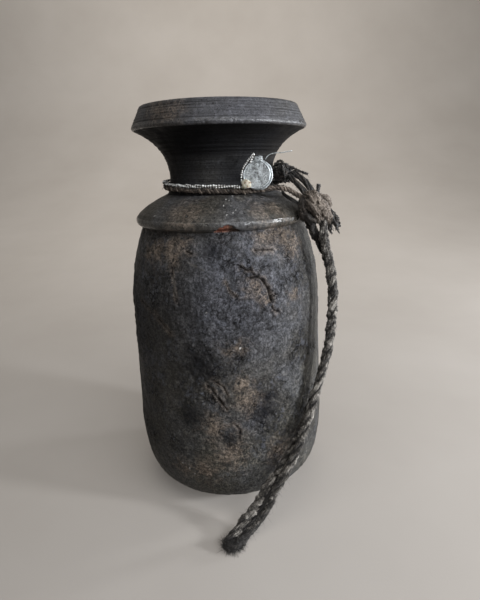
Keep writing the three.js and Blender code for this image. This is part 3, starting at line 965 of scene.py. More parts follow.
def felted(tubes, line, radius, seed, tone=0.5, sides=40, lumps=0.30):
    """One thick matted cord, lumpy, with ragged ribs along it."""
    share = distances(line) / distances(line)[-1]
    thick = radius * np.sqrt(np.clip(1.02 - np.abs(2 * share - 1) ** 5, 0.02, 1))

    def ribs(distance, around):
        broad = matted(distance, around, radius, (0.006, 0.0035), seed)
        fine = matted(distance, around, radius, (0.0034, 0.0008), seed + 1)
        return np.maximum(1 + lumps * broad + 0.8 * lumps * fine, 0.3)

    tubes.add(line, thick, sides, twist=25, relief=ribs, tone=tone)


def fuzz(tubes, line, radius, count, length, thickness, seed, where=(0, 1), tone=0.5):
    """Hairs that stand out from a cord, between two shares of its length."""
    random = np.random.default_rng(seed)
    tangent, side, up = frames_along(line)
    low, high = (int(share * (len(line) - 1)) for share in where)
    at = random.integers(low, max(high, low + 1), count)
    angle = random.uniform(0, 2 * math.pi, count)[:, None]
    outward = side[at] * np.cos(angle) + up[at] * np.sin(angle)
    roots = line[at] + outward * radius * 0.8
    ways = unit(outward * HAIR_LEAN + tangent[at] * random.uniform(-1, 1, (count, 1)))
    lengths = length * random.uniform(0.35, 1, count) ** 1.5
    tubes.hairs(roots, ways, lengths, thickness, seed + 1, tone)


def fibre_look(name, colours, roughness=0.75, specular=0.35):
    """Twisted fibre: fine lines along it, darker between them. Colours go dark to light."""
    look = Look(name, specular=specular)
    fibre = look.attribute("fibre", "Vector")
    here = look.place()
    lines = look.noise(look.stretched(fibre, (60, 1500, 1500)), 1.0, detail=3, roughness=0.6)
    blotch = look.noise(here, 90, detail=4)
    fleck = look.noise(here, 900, detail=3, roughness=0.7)
    value = lines * 0.62 + blotch * 0.38
    value = value + (look.attribute("tone") - 0.5) * 0.25 + (fleck - 0.5) * 0.8
    colour = look.ramp(value, *zip((0.34, 0.45, 0.55, 0.68), colours))
    look.set("Sheen Weight", 0.08)
    look.set("Sheen Roughness", 0.6)
    look.bump(lines, 0.0010, 0.8)
    look.bump(fleck, 0.0008, 0.7)
    return look.finish(colour, roughness)


ROPE_LOOK = fibre_look(
    "rope_fibre",
    [(0.007, 0.005, 0.004), (0.036, 0.031, 0.026), (0.125, 0.112, 0.097), (0.34, 0.315, 0.28)],
)
DARK_LOOK = fibre_look(
    "dark_fibre",
    [(0.004, 0.003, 0.003), (0.013, 0.010, 0.008), (0.034, 0.026, 0.021), (0.11, 0.09, 0.075)],
    roughness=0.5,
    specular=0.5,
)
KNOT_LOOK = fibre_look(
    "knot_fibre",
    [(0.008, 0.006, 0.004), (0.038, 0.028, 0.021), (0.100, 0.079, 0.063), (0.23, 0.19, 0.155)],
)
CORD_LOOK = fibre_look(
    "brown_fibre",
    [(0.008, 0.006, 0.004), (0.026, 0.018, 0.013), (0.062, 0.045, 0.034), (0.20, 0.16, 0.125)],
)
STRING_LOOK = fibre_look(
    "white_fibre",
    [(0.03, 0.024, 0.017), (0.30, 0.26, 0.21), (0.70, 0.67, 0.61), (0.90, 0.89, 0.86)],
    roughness=0.9,
)

# The carry rope, doubled: down its outer run, round the fold on the floor and up its inner run. Its
# routes are in millimetres, and the sizes before them in metres. It is pinched thin at one share of
# its length and folded at another.
ROPE_STEP = 0.0007
FLOOR_GAP = 0.0002
PINCH_SHARE = 0.42
FOLD_SHARE = 0.49
ROPE_OUTER = [
    (94.4, -53, 292.4), (95.2, -54.4, 278), (101.8, -55.4, 248), (104, -56.2, 226),
    (104, -57.8, 204), (101.4, -61.6, 181), (96.4, -66.8, 158), (89, -73, 135),
    (80.8, -81.4, 113), (72.8, -91, 94.5), (63.6, -99.4, 77), (54.2, -105.2, 61),
    (45.2, -108.6, 45.4), (37.6, -112, 31), (29.8, -116, 19.2), (18.8, -122.4, 9.7),
    (10.6, -129.4, 5.2),
]
ROPE_FOLD = [(5.6, -135.8, 4.6), (1.4, -139.8, 4.5), (-3.2, -140.6, 4.5), (-6.4, -137.8, 4.6)]
ROPE_INNER = [
    (-5.8, -133.6, 4.9), (-1.3, -128.8, 6.2), (8.9, -119.8, 11.2), (18, -113.4, 19.8),
    (27.2, -108.2, 29.1), (34.1, -104.2, 39.7), (42.6, -99.5, 49.6), (51, -96.1, 60.8),
    (61.4, -89.8, 76.6), (73.6, -79.6, 95.8), (84, -69.8, 115.7), (94.9, -60.6, 144.1),
    (100.6, -55.8, 163.7), (104, -51.5, 183.5), (105.9, -48.3, 203.6), (105.8, -46.6, 228),
    (102.5, -45.7, 249.5), (95.7, -45.5, 266.1), (89.6, -47.6, 278), (84.9, -51.2, 286.6),
    (83.2, -52.6, 291.2),
]
ROPE_TOP = [(91.5, -50.5, 302), (84.5, -51, 300)]
# A dark felted cord between the two runs near the floor, put there as painted shade in the gap between
# them.
ROPE_SHADE_WEB = [
    (5.4, -129, 5.6), (13.8, -121.4, 10.2), (23.8, -115, 19.2), (32.2, -110.4, 29.8),
    (39.4, -106.6, 42.2), (48, -103, 55),
]


def make_carry_rope():
    """Its inner run is pale and fluffed out near the floor. It is painted dark, as shade, at the fold
    and on its inner run up to the knot.
    """
    held = ROPE_OUTER + ROPE_FOLD + ROPE_INNER
    whole = route(ROPE_TOP[:1] + held + ROPE_TOP[1:], ROPE_STEP)
    along = distances(whole)
    share = along / along[-1]
    loose = smooth_step(share, 0.505, 0.525) * smooth_step(share, 0.66, 0.58)
    pinch = bump_at(share - PINCH_SHARE, 0.07)
    swell = 1 + 0.16 * loose - 0.10 * pinch + 0.14 * bump_at(share - 0.08, 0.10)
    # Painted shade: dark at the fold, which lies in shadow on the floor, and on the inner run up to
    # the knot, where it hangs behind the outer run. It is also darker where it is pinched.
    dark = bump_at(share - FOLD_SHARE, 0.022) + 0.7 * smooth_step(share, 0.66, 0.74)
    tone = 0.62 + 0.12 * loose - 0.9 * dark - 0.4 * pinch
    tone = tone + 0.3 * wander(along, 0.010, 29) + 0.5 * wander(along, 0.003, 30)
    tubes = Tubes()
    lay_strands(
        tubes, whole, 3, 0.0020, 0.0022, 0.040, 22, seed=21,
        uneven=0.34, tone=tone, swell=swell, rough=0.34, shade=0.5,
    )
    rope = tubes.piece(
        "carry_rope_visual", "carry_loop", "grey_rope", ROPE_LOOK, ["carry_rope"], FLOOR_GAP
    )
    hairs = Tubes()
    bare = route(held, 0.0008)
    fuzz(hairs, bare, 0.0036, 1300, 0.0028, 0.00018, seed=22, where=(0, 0.47))
    fuzz(hairs, bare, 0.0036, 500, 0.006, 0.00016, seed=23, where=(0.36, 0.56))
    # Darker hairs at the fold: painted shade.
    fuzz(hairs, bare, 0.0040, 700, 0.006, 0.00022, seed=25, where=(0.475, 0.51), tone=-0.2)
    fuzz(hairs, bare, 0.0036, 1000, 0.0028, 0.00018, seed=24, where=(0.5, 1))
    # The dark cord between the runs: painted shade.
    felted(hairs, route(ROPE_SHADE_WEB, ROPE_STEP), 0.0022, 27, tone=-0.9, sides=20)
    fluff = hairs.piece("carry_rope_hairs", "carry_loop", "grey_rope", ROPE_LOOK, lowest=FLOOR_GAP)


make_carry_rope()

# The harness. Its cord and string follow rings round the neck, given as radius and height. They are
# lowest where the knot pulls them down, and rise above or fall below their height by their tilt.
CORD_RING = (0.0565, 0.3263)
STRING_RING = (0.0582, 0.3302)
RING_TILT = 0.0028
RING_STEP = 12
RING_LOW = math.radians(-60)
CORD_LEAD = [
    (75.6, -51.4, 314.2), (67, -52.2, 319.6), (59, -53.5, 323.6), (49.8, -55, 324.8),
    (34, -56.8, 323.5), (18, -57.9, 323.2),
]
CORD_END = [(56.8, 9, 326.8), (58.6, 1, 328.6), (59.7, -9.6, 331.4)]
STRING_LEAD = [(22.6, -61.2, 326), (17, -60.5, 326.9), (11, -59.5, 327.4)]
STRING_END = [(56.2, 9, 331.8), (56.6, 0, 334.4), (57.6, -9.8, 336.4)]


def ring_route(lead, ring, first, last, end):
    """A route from a lead, clockwise round the neck from one angle to another, to an end."""
    radius, height = ring
    angles = np.radians(np.linspace(first, last, round((first - last) / RING_STEP) + 1))
    level = height - RING_TILT * np.cos(angles - RING_LOW)
    round_neck = np.stack([radius * np.cos(angles), radius * np.sin(angles), level], axis=1)
    return smooth_route(np.vstack([metres(lead), round_neck, metres(end)]), ROPE_STEP)


def make_neck_cords():
    cord = ring_route(CORD_LEAD, CORD_RING, -85, -340, CORD_END)
    share = distances(cord) / distances(cord)[-1]
    tone = 0.5 + 0.3 * smooth_step(share, 0.20, 0.14)
    tubes = Tubes()
    lay_strands(tubes, cord, 3, 0.00125, 0.00125, 0.011, 14, seed=31, uneven=0.22, tone=tone)
    lay_strands(tubes, cord, 1, 0.0021, 0.0005, 0.0082, 8, seed=36, uneven=0.35, tone=1.9)
    fuzz(tubes, cord, 0.0024, 1100, 0.0035, 0.0001, seed=32)
    tubes.piece("neck_cord_visual", "harness", "brown_cord", CORD_LOOK, ["neck_cord"])
    string = ring_route(STRING_LEAD, STRING_RING, -88, -340, STRING_END)
    tubes = Tubes()
    # The beads' wave thickens the turns and paints the gaps between them dark: painted shade between
    # the turns.
    wave = beads(string, 0.0024, 35)
    lay_strands(
        tubes, string, 2, 0.0006, 0.00074, 0.0052, 10, seed=33,
        uneven=0.45, tone=0.8 + 3.2 * wave, swell=1 + 0.22 * wave,
    )
    fuzz(tubes, string, 0.0011, 90, 0.0025, 0.0001, seed=34)
    tubes.piece("neck_string_visual", "harness", "white_string", STRING_LOOK, ["neck_string"])


make_neck_cords()

# The cords between the clump and the knot, as their diameters and routes in millimetres.
LASHINGS = {
    "upper_lashing_outer": (5.4, [(69.4, -25, 336.6), (76.3, -33, 331.4), (81, -38, 327),
                                  (84, -42.8, 321.6), (85.2, -45.6, 317.6)]),
    "upper_lashing_inner": (4.8, [(65.6, -28.2, 333.6), (71, -34.6, 327.8), (76, -40.4, 322.4),
                                  (78.8, -45.2, 318), (79.8, -46.6, 315.8)]),
    "lower_lashing": (3.4, [(59.8, -24.6, 324.4), (58.6, -34, 321.4), (59, -43, 318.2),
                            (63.6, -47.6, 314.4), (68, -49.6, 311.8), (72.4, -50.8, 309.2)]),
    "loose_strand": (2.2, [(67.2, -24.8, 342.4), (70, -25.8, 341), (76.2, -27.6, 337.4),
                           (83, -30, 334.2)]),
    "knot_stub": (3.6, [(90.5, -43.2, 315.6), (91.2, -41.9, 321), (91.9, -41.2, 325.8)]),
}
CLUMP_CENTRE = np.array([0.0599, -0.020, 0.3365])
CLUMP_RADII = np.array([0.0086, 0.0096, 0.0096])
KNOT_CENTRE = np.array([0.0873, -0.050, 0.3053])
KNOT_AXIS = unit(np.array([0.954, 0.3, 0]))
KNOT_FRONT = np.array([KNOT_AXIS[1], -KNOT_AXIS[0], 0])
TASSEL_ROOT = np.array([0.1018, -0.0453, 0.3032])
TASSEL_WAY = unit(np.array([0.21, -0.04, -0.98]))
TASSEL_LENGTH = 0.025
TASSEL_HAIRS = 64
TASSEL_LOCKS = 30
YARN_TURN = 2.4
CORD_STEP = 0.0006
UPPER_SWELL = 1.3


def yarn_bundle(tubes, line, number, radius, yarn, turns, sides, seed, spread=1.0, tone=0.5):
    """Many thin yarns packed round a line, twisted together by this many turns."""
    random = np.random.default_rng(seed)
    along = distances(line)
    share = along / along[-1]
    _, side, up = frames_along(line)
    reach = (radius - yarn) * np.sqrt((np.arange(number) + 0.6) / number)
    start = np.arange(number) * YARN_TURN + random.uniform(-0.3, 0.3, number)
    for k in range(number):
        angle = start[k] + 2 * math.pi * turns * share + 0.35 * wander(along, 0.02, seed + k)
        away = reach[k] * (1 + 0.15 * wander(along, 0.014, seed + k + 40)) * spread
        outward = side * np.cos(angle)[:, None] + up * np.sin(angle)[:, None]
        centre = line + outward * away[:, None]
        thick = yarn * (1 + 0.25 * wander(along, 0.008, seed + k + 80))
        tubes.add(centre, thick, sides, twist=60, tone=tone + random.uniform(-0.35, 0.35))


def make_lashings():
    for number, (name, (diameter, points)) in enumerate(LASHINGS.items()):
        line = route(points, CORD_STEP)
        tubes = Tubes()
        radius = diameter * MM / 2
        seed = 50 + number
        stub = name == "knot_stub"
        if name.startswith("upper"):
            radius = UPPER_SWELL * radius
            yarn_bundle(tubes, line, 8, radius, 0.36 * radius, 0.35, 12, seed, tone=0.0)
        elif diameter > 3:
            spread = 1 + 0.6 * stub * np.linspace(0, 1, len(line)) ** 2
            yarn_bundle(tubes, line, 9, radius, 0.34 * radius, 0.8, 8, seed, spread, tone=0.3)
        else:
            sway = [wander(distances(line), 0.006, 60 + k) for k in range(3)]
            line = line + 0.0006 * np.stack(sway, axis=1)
            lay_strands(tubes, line, 2, 0.0005, 0.00064, 0.0048, 8, seed, uneven=0.4)
        fuzz(tubes, line, radius, 90, 0.0010 if stub else 0.0035, 0.00014, seed=70 + number)
        tubes.piece(name + "_visual", "harness", "dark_cord", DARK_LOOK, [name])


make_lashings()


def make_clump():
    """Small bights of dark cord, tangled over a lumpy core."""
    random = np.random.default_rng(81)
    tubes = Tubes()
    for k in range(34):
        middle = CLUMP_CENTRE + CLUMP_RADII * unit(random.normal(size=3)) * random.uniform(0.5, 0.92)
        first = unit(random.normal(size=3))
        second = unit(np.cross(first, random.normal(size=3)))
        angles = np.linspace(0, random.uniform(4, 7), 7)[:, None]
        size = random.uniform(0.0032, 0.0048)
        bight = middle + size * (first * np.cos(angles) + second * np.sin(angles))
        bight = bight + np.cross(first, second) * np.linspace(-0.0018, 0.0018, 7)[:, None]
        line = smooth_route(bight, 0.0005)
        tone = 0.9 if k % 5 == 0 else 0.3
        lay_strands(tubes, line, 2, 0.00062, 0.00074, 0.005, 8, seed=82 + k, tone=tone)
    reach = np.array([0, 0.007, 0])
    core = smooth_route([CLUMP_CENTRE - reach, CLUMP_CENTRE, CLUMP_CENTRE + reach], 0.0008)
    felted(tubes, core, 0.0066, 99, tone=0.0, lumps=0.5)
    fuzz(tubes, core, 0.0078, 320, 0.0045, 0.00014, seed=98)
    tubes.piece("lashing_clump_visual", "harness", "dark_cord", DARK_LOOK, ["lashing_clump"])


make_clump()


# The knot's turns: each has its radius, its tone and the places that it goes through, as how far
# they are along the knot's axis, in front of it and above it, all in millimetres.
KNOT_TURNS = [
    (5.4, 0.90, [(-9, -3, 12.4), (-5.4, 4, 10), (0, 6.4, 4), (5.4, 6.4, -3), (9.4, 4, -9.6),
                 (10.4, 0, -13.6)]),
    (3.8, 0.20, [(-9, -4, 9.6), (-13, 0.6, 6), (-13.8, 1, -1), (-12, 0, -7), (-8, -3, -10)]),
    (4.0, -0.2, [(-12, -1, -5), (-9, 3.2, -9), (-5, 3.2, -11.6), (-2, -1, -14)]),
    (3.4, 0.85, [(2, -4, 9), (7.6, 2.6, 7), (11.6, 3, 3.4), (12.4, -2, -1), (9, -6, -4)]),
    (4.0, 0.55, [(-10, 1, 7), (-7, 6, 2.4), (-3, 7.2, -3.4), (1.4, 5.6, -8.6), (4, 0, -12)]),
    (5.6, 0.35, [(-9, -6, 5), (0, -8, 0), (8, -6, -5)]),
    (3.6, 0.65, [(-8, -6, 8), (-2, -2, 11), (5, -5, 8), (9, -8, 2)]),
]


def make_knot():
    """The big knot: fibrous turns over a core, as a stopper knot is tied."""
    tubes = Tubes()
    reach = KNOT_AXIS * 0.009
    core = smooth_route([KNOT_CENTRE - reach, KNOT_CENTRE, KNOT_CENTRE + reach], 0.0008)
    yarn_bundle(tubes, core, 22, 0.0080, 0.0022, 0.4, 8, seed=101, tone=0.1)
    axes = np.array([KNOT_AXIS, KNOT_FRONT, (0, 0, 1)])
    for k, (thick, tone, places) in enumerate(KNOT_TURNS):
        line = smooth_route(KNOT_CENTRE + metres(places) @ axes, CORD_STEP)
        thick = thick * MM
        felted(tubes, line, thick, 110 + 20 * k, tone=tone)
        yarn_bundle(tubes, line, 7, 1.02 * thick, 0.15 * thick, 0.5, 7, seed=111 + 20 * k, tone=tone)
        fuzz(tubes, line, thick, 90, 0.0028, 0.00022, seed=191 + k, tone=tone - 0.3)
    tubes.piece("carry_knot_visual", "harness", "brown_cord", KNOT_LOOK, ["carry_knot"])


make_knot()


def make_tassel():
    """Stiff dark locks that burst from the knot's outer side, with finer hair between them."""
    random = np.random.default_rng(201)
    tubes = Tubes()
    side = unit(np.cross(TASSEL_WAY, (0, 1, 0)))
    front = np.cross(side, TASSEL_WAY)
    for k in range(TASSEL_HAIRS):
        lock = k < TASSEL_LOCKS
        angle = random.uniform(0, 2 * math.pi)
        out = side * math.cos(angle) + front * math.sin(angle)
        start = random.uniform(0, 0.45) if lock else 0
        end = max(random.uniform(0.45, 1.02 if lock else 0.95), start + 0.25)
        spread = random.uniform(0.1, 1) ** 0.6
        steps = np.linspace(start, end, 8)
        width = (0.0014 + 0.0052 * np.sin(np.minimum(steps * 1.2, 1) * math.pi * 0.7)) * spread
        line = TASSEL_ROOT + TASSEL_WAY * (TASSEL_LENGTH * steps)[:, None] + out * width[:, None]
        line[2:] += random.normal(scale=0.0009, size=(6, 3))
        line = smooth_route(line, CORD_STEP)
        share = np.linspace(0, 1, len(line))
        thick = 0.0003 - 0.0001 * share
        if lock:
            thick = 0.00095 * np.sin(math.pi * np.clip(0.15 + 0.8 * share, 0, 1)) ** 0.7
        tubes.add(line, thick, 6, tone=random.uniform(0.0, 0.6))
    tubes.piece("frayed_tassel_visual", "harness", "dark_cord", DARK_LOOK, ["frayed_tassel"])


make_tassel()


# The tag. Its own axes: x to its right, y through it from front to back, z up its face.
TAG_PLACE = (
    Matrix.Translation((0.0335, -0.0614, 0.3366))
    @ Matrix.Rotation(math.radians(-16), 4, "Z")
    @ Matrix.Rotation(math.radians(-9), 4, "X")
)
TAG_TURN = np.array(TAG_PLACE)[:3, :3]
TAG_ORIGIN = np.array(TAG_PLACE)[:3, 3]
FACE_RADIUS = 0.01245
FACE_THICKNESS = 0.0018
BACK_RADIUS = 0.01305
BACK_THICKNESS = 0.0016
BACK_SHIFT = 0.0011
TAG_GAP = 0.00035


def on_tag(points):
    return np.asarray(points) @ TAG_TURN.T + TAG_ORIGIN


def metal_look():
    look = Look("tag_metal", metallic=0.3, specular=0.6)
    here = look.place()
    tarnish = look.noise(here, 260, detail=6, roughness=0.65)
    grime = look.noise(here, 900, detail=4)
    spots = look.noise(here, 520, detail=3, roughness=0.6)
    scratch = look.noise(look.place((1, 1, 7)), 700, detail=3)
    colour = look.ramp(
        tarnish,
        (0.30, (0.24, 0.265, 0.28)),
        (0.45, (0.48, 0.515, 0.53)),
        (0.60, (0.70, 0.745, 0.765)),
        (0.80, (0.90, 0.93, 0.95)),
    )
    colour = look.layered(
        colour,
        (look.between(grime, 0.52, 0.62, 0, 0.85), (0.12, 0.125, 0.12)),
        (look.between(spots, 0.58, 0.66, 0, 0.7), (0.10, 0.10, 0.105)),
        # Darker in the dents and in the groove inside the raised edge; in the groove this is painted
        # shade.
        (look.attribute("hollow") * 0.6, (0.15, 0.155, 0.16)),
    )
    look.bump(tarnish, 0.0010, 0.6)
    look.bump(grime, 0.0004, 0.6)
    look.bump(scratch, 0.0003, 0.3)
    return look.finish(colour, look.between(tarnish, 0.3, 0.7, 0.62, 0.42))


METAL = metal_look()

# How far out the rows of a disc lie, the bends of its edge, and how many columns it has.
DISC_RINGS = [0, 0.12, 0.24, 0.36, 0.48, 0.58, 0.68, 0.76, 0.82, 0.87, 0.91, 0.95, 0.985, 1.0]
DISC_ROWS = 46
DISC_COLUMNS = 96
DISC_RIDGE = 0.95
DISC_GROOVE = 0.89
DISC_ROUNDED = 0.94


def disc_sheet(radius, thickness, seed, rim, dents):
    """A dented disc with a raised edge, in the tag's own axes, and how deep it is at each point."""
    at = np.linspace(0, len(DISC_RINGS) - 1, DISC_ROWS)
    fine = np.interp(at, np.arange(len(DISC_RINGS)), DISC_RINGS)[1:]
    angle = np.linspace(0, 2 * math.pi, DISC_COLUMNS, endpoint=False)
    wobble = 1 + 0.012 * np.sin(3 * angle + seed) + 0.008 * np.sin(7 * angle + 2 * seed)
    points, deep = [], []
    for front in (True, False):
        share = (fine if front else fine[::-1])[:, None]
        reach = share * radius * wobble
        x, z = reach * np.cos(angle), reach * np.sin(angle)
        flat = np.stack([x.ravel(), np.full(x.size, seed * 0.1), z.ravel()], axis=1)
        groove = bump_at(share - DISC_GROOVE, 0.02)
        level = 0.00022 * fractal(flat, 0.006, 3, seed).reshape(x.shape)
        level = level + rim * (bump_at(share - DISC_RIDGE, 0.035) - 0.6 * groove)
        # The groove inside the raised edge is marked for painted shade.
        hollow = 0.35 * groove * np.ones(DISC_COLUMNS)
        for dx, dz, wide, depth in dents:
            dip = bump_at(np.hypot(x - dx, z - dz), wide)
            level = level - depth * dip
            hollow = np.maximum(hollow, dip)
        corner = np.clip(share - DISC_ROUNDED, 0, 1) / (1 - DISC_ROUNDED)
        half = thickness * 0.5 * np.sqrt(np.clip(1 - corner ** 2, 0, 1))
        y = -half - level * (share < 0.99) if front else half - level
        points.append(np.stack([x, y, z], axis=2).reshape(-1, 3))
        deep.append(hollow.ravel())
    return np.vstack(points), np.concatenate(deep), 2 * len(fine)


def make_disc(name, radius, thickness, middle, seed, rim, dents):
    points, deep, rows = disc_sheet(radius, thickness, seed, rim, dents)
    points = points + middle
    count = len(points)
    ends = [points[:DISC_COLUMNS].mean(0), points[-DISC_COLUMNS:].mean(0)]
    points = on_tag(np.vstack([points, ends]))
    faces = closed_grid(rows, DISC_COLUMNS, count, count + 1)
    values = {"hollow": np.append(deep, [0, 0])}
    new_piece(name + "_visual", points, faces, "tag", METAL, [name], values)


# The folded strip: its width, the half distance between its legs, half its thickness, how far to
# the right it sits, and how far its legs reach down in front and behind.
STRIP_WIDTH = 0.0064
STRIP_HALF_GAP = 0.0024
STRIP_HALF_SHEET = 0.0004
STRIP_SHIFT = 0.0012
STRIP_FRONT = 0.0046
STRIP_BACK = 0.0058
STRIP_COLUMNS = 17


def make_strip():
    """The folded strip over the discs' top edge: a hairpin of thin metal with crumpled sides."""
    top = BACK_RADIUS + 0.0027
    middle_y = (BACK_THICKNESS - FACE_THICKNESS) / 2
    half = STRIP_HALF_GAP
    bend = np.linspace(math.pi, 0, 14)
    bow = np.stack([middle_y + half * np.cos(bend), top - half + half * np.sin(bend)], axis=1)
    front, back = (
        np.stack([np.full(count, middle_y + way), np.linspace(top - first, top - last, count)], axis=1)
        for count, way, first, last in ((10, -half, STRIP_FRONT, half), (8, half, half, STRIP_BACK))
    )
    line = np.vstack([front[:-1], bow, back[1:]])
    slope = unit(np.gradient(line, axis=0))
    x = STRIP_SHIFT + np.linspace(-0.5, 0.5, STRIP_COLUMNS) * STRIP_WIDTH
    sheets = []
    for side in (STRIP_HALF_SHEET, -STRIP_HALF_SHEET):
        rows = []
        for (y, z), (slope_y, slope_z) in zip(line, slope):
            flat = np.stack([x, 0 * x + y, 0 * x + z], axis=1)
            shift = side + 0.00035 * fractal(flat, 0.004, 2, seed=4)
            rows.append(np.stack([x, y - slope_z * shift, z + slope_y * shift], axis=1))
        sheets.append(np.array(rows))
    loop = np.concatenate([sheets[0], sheets[1][:, ::-1]], axis=1)
    rows, columns = loop.shape[:2]
    points = loop.reshape(-1, 3)
    ends = []
    for first in (0, (rows - 1) * columns):
        for k in range(STRIP_COLUMNS - 1):
            quad = [first + k, first + k + 1, first + columns - 2 - k, first + columns - 1 - k]
            ends.append(quad if first == 0 else quad[::-1])
    faces = np.vstack([grid_faces(rows, columns), ends])
    values = {"hollow": np.zeros(len(points))}
    points = on_tag(points)
    new_piece("tag_strip_visual", points, faces, "tag", METAL, ["tag_strip"], values)


# The tag's string and wire, in its own axes and millimetres. Its dents are (x, z, width, depth).
TAG_STRING = [
    (-13, -3.3, -6.2), (-13.6, -3.3, -2.6), (-13.2, -3.3, 1), (-12.2, -3.3, 5.2),
    (-9.4, -3.3, 9.9), (-5, -3.3, 15.4), (-3.2, -2.6, 18.2),
]
TAG_BIGHT = [
    (-3.2, -2.6, 18.2), (-2.6, -2.4, 17.6), (-3.3, -2.9, 15.7), (-4.4, -3.3, 12.8),
    (-5.7, -3.4, 9.6),
]
TAG_WIRE = [(7.2, 0.4, 13.4), (9.3, 0, 16.1), (13.8, 0, 18), (21.2, 0.6, 18.4), (30.3, 1.6, 19.8)]
DENTS = [
    (-0.0035, 0.0052, 0.0011, 0.00035), (-0.0012, 0.0046, 0.0009, 0.00030),
    (0.0002, 0.0014, 0.0010, 0.00032), (-0.0022, -0.0008, 0.0012, 0.00030),
    (0.0014, -0.0026, 0.0010, 0.00035), (0.0040, -0.0060, 0.0011, 0.00030),
    (-0.0060, -0.0040, 0.0016, 0.00025), (0.0060, 0.0030, 0.0018, 0.00022),
]


def make_tag():
    front = (0, -TAG_GAP / 2 - FACE_THICKNESS / 2 - 0.0001, 0)
    back = (BACK_SHIFT, TAG_GAP / 2 + BACK_THICKNESS / 2, 0)
    make_disc("tag_face", FACE_RADIUS, FACE_THICKNESS, front, 3, 0.00035, DENTS)
    make_disc("tag_back", BACK_RADIUS, BACK_THICKNESS, back, 5, 0.0002, DENTS[5:])
    make_strip()
    tubes = Tubes()
    for seed, points in enumerate((TAG_STRING, TAG_BIGHT)):
        line = on_tag(route(points, 0.0005))
        # The beads' wave thickens the turns and paints the gaps between them dark: painted shade
        # between the turns.
        wave = beads(line, 0.0020, 305 + seed)
        lay_strands(
            tubes, line, 2, 0.00024, 0.00040, 0.0045, 9, seed=300 + seed,
            uneven=0.4, tone=1.0 + 2.2 * wave, swell=1 + 0.2 * wave,
        )
        fuzz(tubes, line, 0.0006, 30, 0.0022, 0.0001, seed=310 + seed)
    tubes.piece("tag_string_visual", "tag", "white_string", STRING_LOOK, ["tag_string"])
    tubes = Tubes()
    tubes.add(on_tag(route(TAG_WIRE, CORD_STEP)), 0.0004, 9)
    wire = tubes.piece("tag_wire_visual", "tag", "grey_metal", METAL, ["tag_wire"])
    wire.data.attributes.new("hollow", "FLOAT", "POINT")


WAX_RADII = (0.0045, 0.0016, 0.0042)
WAX_PLACE = (-0.0088, -0.0041, -0.0080)
WAX_ROWS = 28
WAX_COLUMNS = 48


def wax_look():
    look = Look("cream_wax")
    blotch = look.noise(look.place(), 420, detail=5)
    colour = look.ramp(
        blotch,
        (0.34, (0.17, 0.085, 0.045)),
        (0.46, (0.50, 0.42, 0.31)),
        (0.62, (0.70, 0.66, 0.55)),
    )
    look.set("Subsurface Weight", 0.15)
    look.set("Subsurface Scale", 0.002)
    look.bump(blotch, 0.0008, 0.5)
    return look.finish(colour, look.between(blotch, 0.3, 0.7, 0.65, 0.45))


def make_wax():
    angle = np.linspace(0, 2 * math.pi, WAX_COLUMNS, endpoint=False)
    rise = np.linspace(-math.pi / 2, math.pi / 2, WAX_ROWS + 2)[1:-1, None]
    level = np.cos(rise)
    ball = np.stack([level * np.cos(angle), level * np.sin(angle), np.sin(rise) + 0 * angle], axis=2)
    ball = np.vstack([ball.reshape(-1, 3), [(0, 0, -1), (0, 0, 1)]])
    ball = ball * (1 + 0.14 * fractal(ball, 0.9, 3, seed=6))[:, None]
    points = on_tag(ball * WAX_RADII + WAX_PLACE)
    faces = closed_grid(WAX_ROWS, WAX_COLUMNS, len(ball) - 2, len(ball) - 1)
    new_piece("wax_blob_visual", points, faces, "tag", wax_look(), ["wax_blob"])


make_tag()
make_wax()


# Studio: a plain pale sweep behind and under the pot, and soft light.
SEEING_RAYS = ("Is Camera Ray", "Is Glossy Ray", "Is Transmission Ray")


def sweep():
    """A floor that curves up into a backdrop far behind the pot. The camera, and what shines or is
    clear, sees it pale. It throws less light back at the pot than it shows."""
    depth = np.array([-2.2, -1, 0, 0.5, 0.8, 1.1, 1.4, 1.7, 2.0, 2.25, 2.42, 2.52, 2.56, 2.58])
    height = np.array([0, 0, 0, 0, 0.012, 0.05, 0.115, 0.21, 0.345, 0.53, 0.78, 1.15, 1.8, 3.2])
    half = 4.0
    points = [(x, y, z) for y, z in zip(depth, height) for x in (-half, half)]
    faces = [(2 * k, 2 * k + 1, 2 * k + 3, 2 * k + 2) for k in range(len(depth) - 1)]
    mesh = bpy.data.meshes.new("studio_sweep")
    mesh.from_pydata(points, [], faces)
    mesh.polygons.foreach_set("use_smooth", np.ones(len(faces), bool))
    look = Look("studio_paper", specular=0.2)
    blotch = look.noise(look.place(), 3, detail=4)
    pale = look.ramp(blotch, (0.3, (0.30, 0.275, 0.25)), (0.7, (0.33, 0.305, 0.28)))
    rays = look.node("LightPath").outputs
    seen = look.most(*(rays[name] for name in SEEING_RAYS))
    look.set("Emission Color", pale)
    look.set("Emission Strength", seen * 0.30)
    look.bump(look.noise(look.place(), 500, detail=2), 0.0004, 0.15)
    mesh.materials.append(look.finish(look.mix(seen, (0.15, 0.14, 0.13), pale), 0.9))
    floor = bpy.data.objects.new("studio_sweep", mesh)
    bpy.context.scene.collection.objects.link(floor)


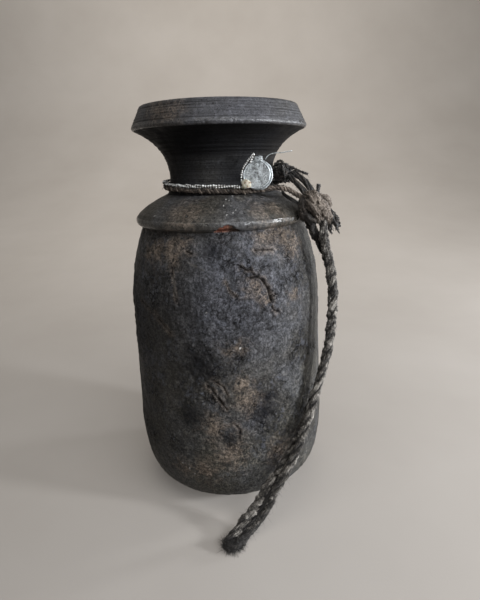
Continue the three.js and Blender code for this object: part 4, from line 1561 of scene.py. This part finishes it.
def soft_light(name, place, target, size, power, colour, tall=None):
    """A round light at a place, which looks at a target. With a height of its own it is a
    rectangle."""
    data = bpy.data.lights.new(name, "AREA")
    data.shape = "RECTANGLE" if tall else "DISK"
    data.size = size
    if tall:
        data.size_y = tall
    data.energy = power
    data.color = colour
    light = bpy.data.objects.new(name, data)
    light.location = place
    light.rotation_euler = (Vector(target) - Vector(place)).to_track_quat("-Z", "Y").to_euler()
    bpy.context.scene.collection.objects.link(light)


def round_pot(degrees, lift, distance):
    """A place this far from the pot's middle, in this direction."""
    turn, rise = math.radians(degrees), math.radians(lift)
    way = np.array([math.cos(turn) * math.cos(rise), math.sin(turn) * math.cos(rise), math.sin(rise)])
    return tuple(way * distance + POT_MIDDLE)


POT_MIDDLE = np.array([0, 0, 0.2])
DAYLIGHT = (0.93, 0.96, 1.0)


def light_studio():
    soft_light("key", round_pot(-20, 11, 1.45), POT_MIDDLE, 0.18, 21, DAYLIGHT)
    soft_light("broad", round_pot(-56, 29, 1.6), POT_MIDDLE, 1.4, 19, DAYLIGHT, tall=0.35)
    soft_light("second", round_pot(15, 9, 1.5), POT_MIDDLE, 0.22, 10, DAYLIGHT)
    soft_light("top", round_pot(-100, 72, 1.4), POT_MIDDLE, 1.0, 6, (1.0, 0.98, 0.95))
    soft_light("wall", (0, 0.9, 1.8), (0, 2.5, 0.7), 1.6, 36, (1.0, 0.96, 0.90))
    bpy.context.scene.view_settings.view_transform = "Standard"


def pale_world():
    """Pale where the camera, or what shines or is clear, sees it, and nearly dark as a light."""
    world = bpy.data.worlds.new("studio")
    world.use_nodes = True
    nodes, links = world.node_tree.nodes, world.node_tree.links
    rays = nodes.new("ShaderNodeLightPath")
    seen = rays.outputs[SEEING_RAYS[0]]
    for name in SEEING_RAYS[1:]:
        either = nodes.new("ShaderNodeMath")
        either.operation = "MAXIMUM"
        links.new(seen, either.inputs[0])
        links.new(rays.outputs[name], either.inputs[1])
        seen = either.outputs[0]
    strength = nodes.new("ShaderNodeMapRange")
    links.new(seen, strength.inputs["Value"])
    strength.inputs["To Min"].default_value = 0.02
    strength.inputs["To Max"].default_value = 0.36
    background = nodes["Background"]
    background.inputs["Color"].default_value = (1, 0.95, 0.89, 1)
    links.new(strength.outputs[0], background.inputs["Strength"])
    bpy.context.scene.world = world


pale_world()
sweep()
light_studio()
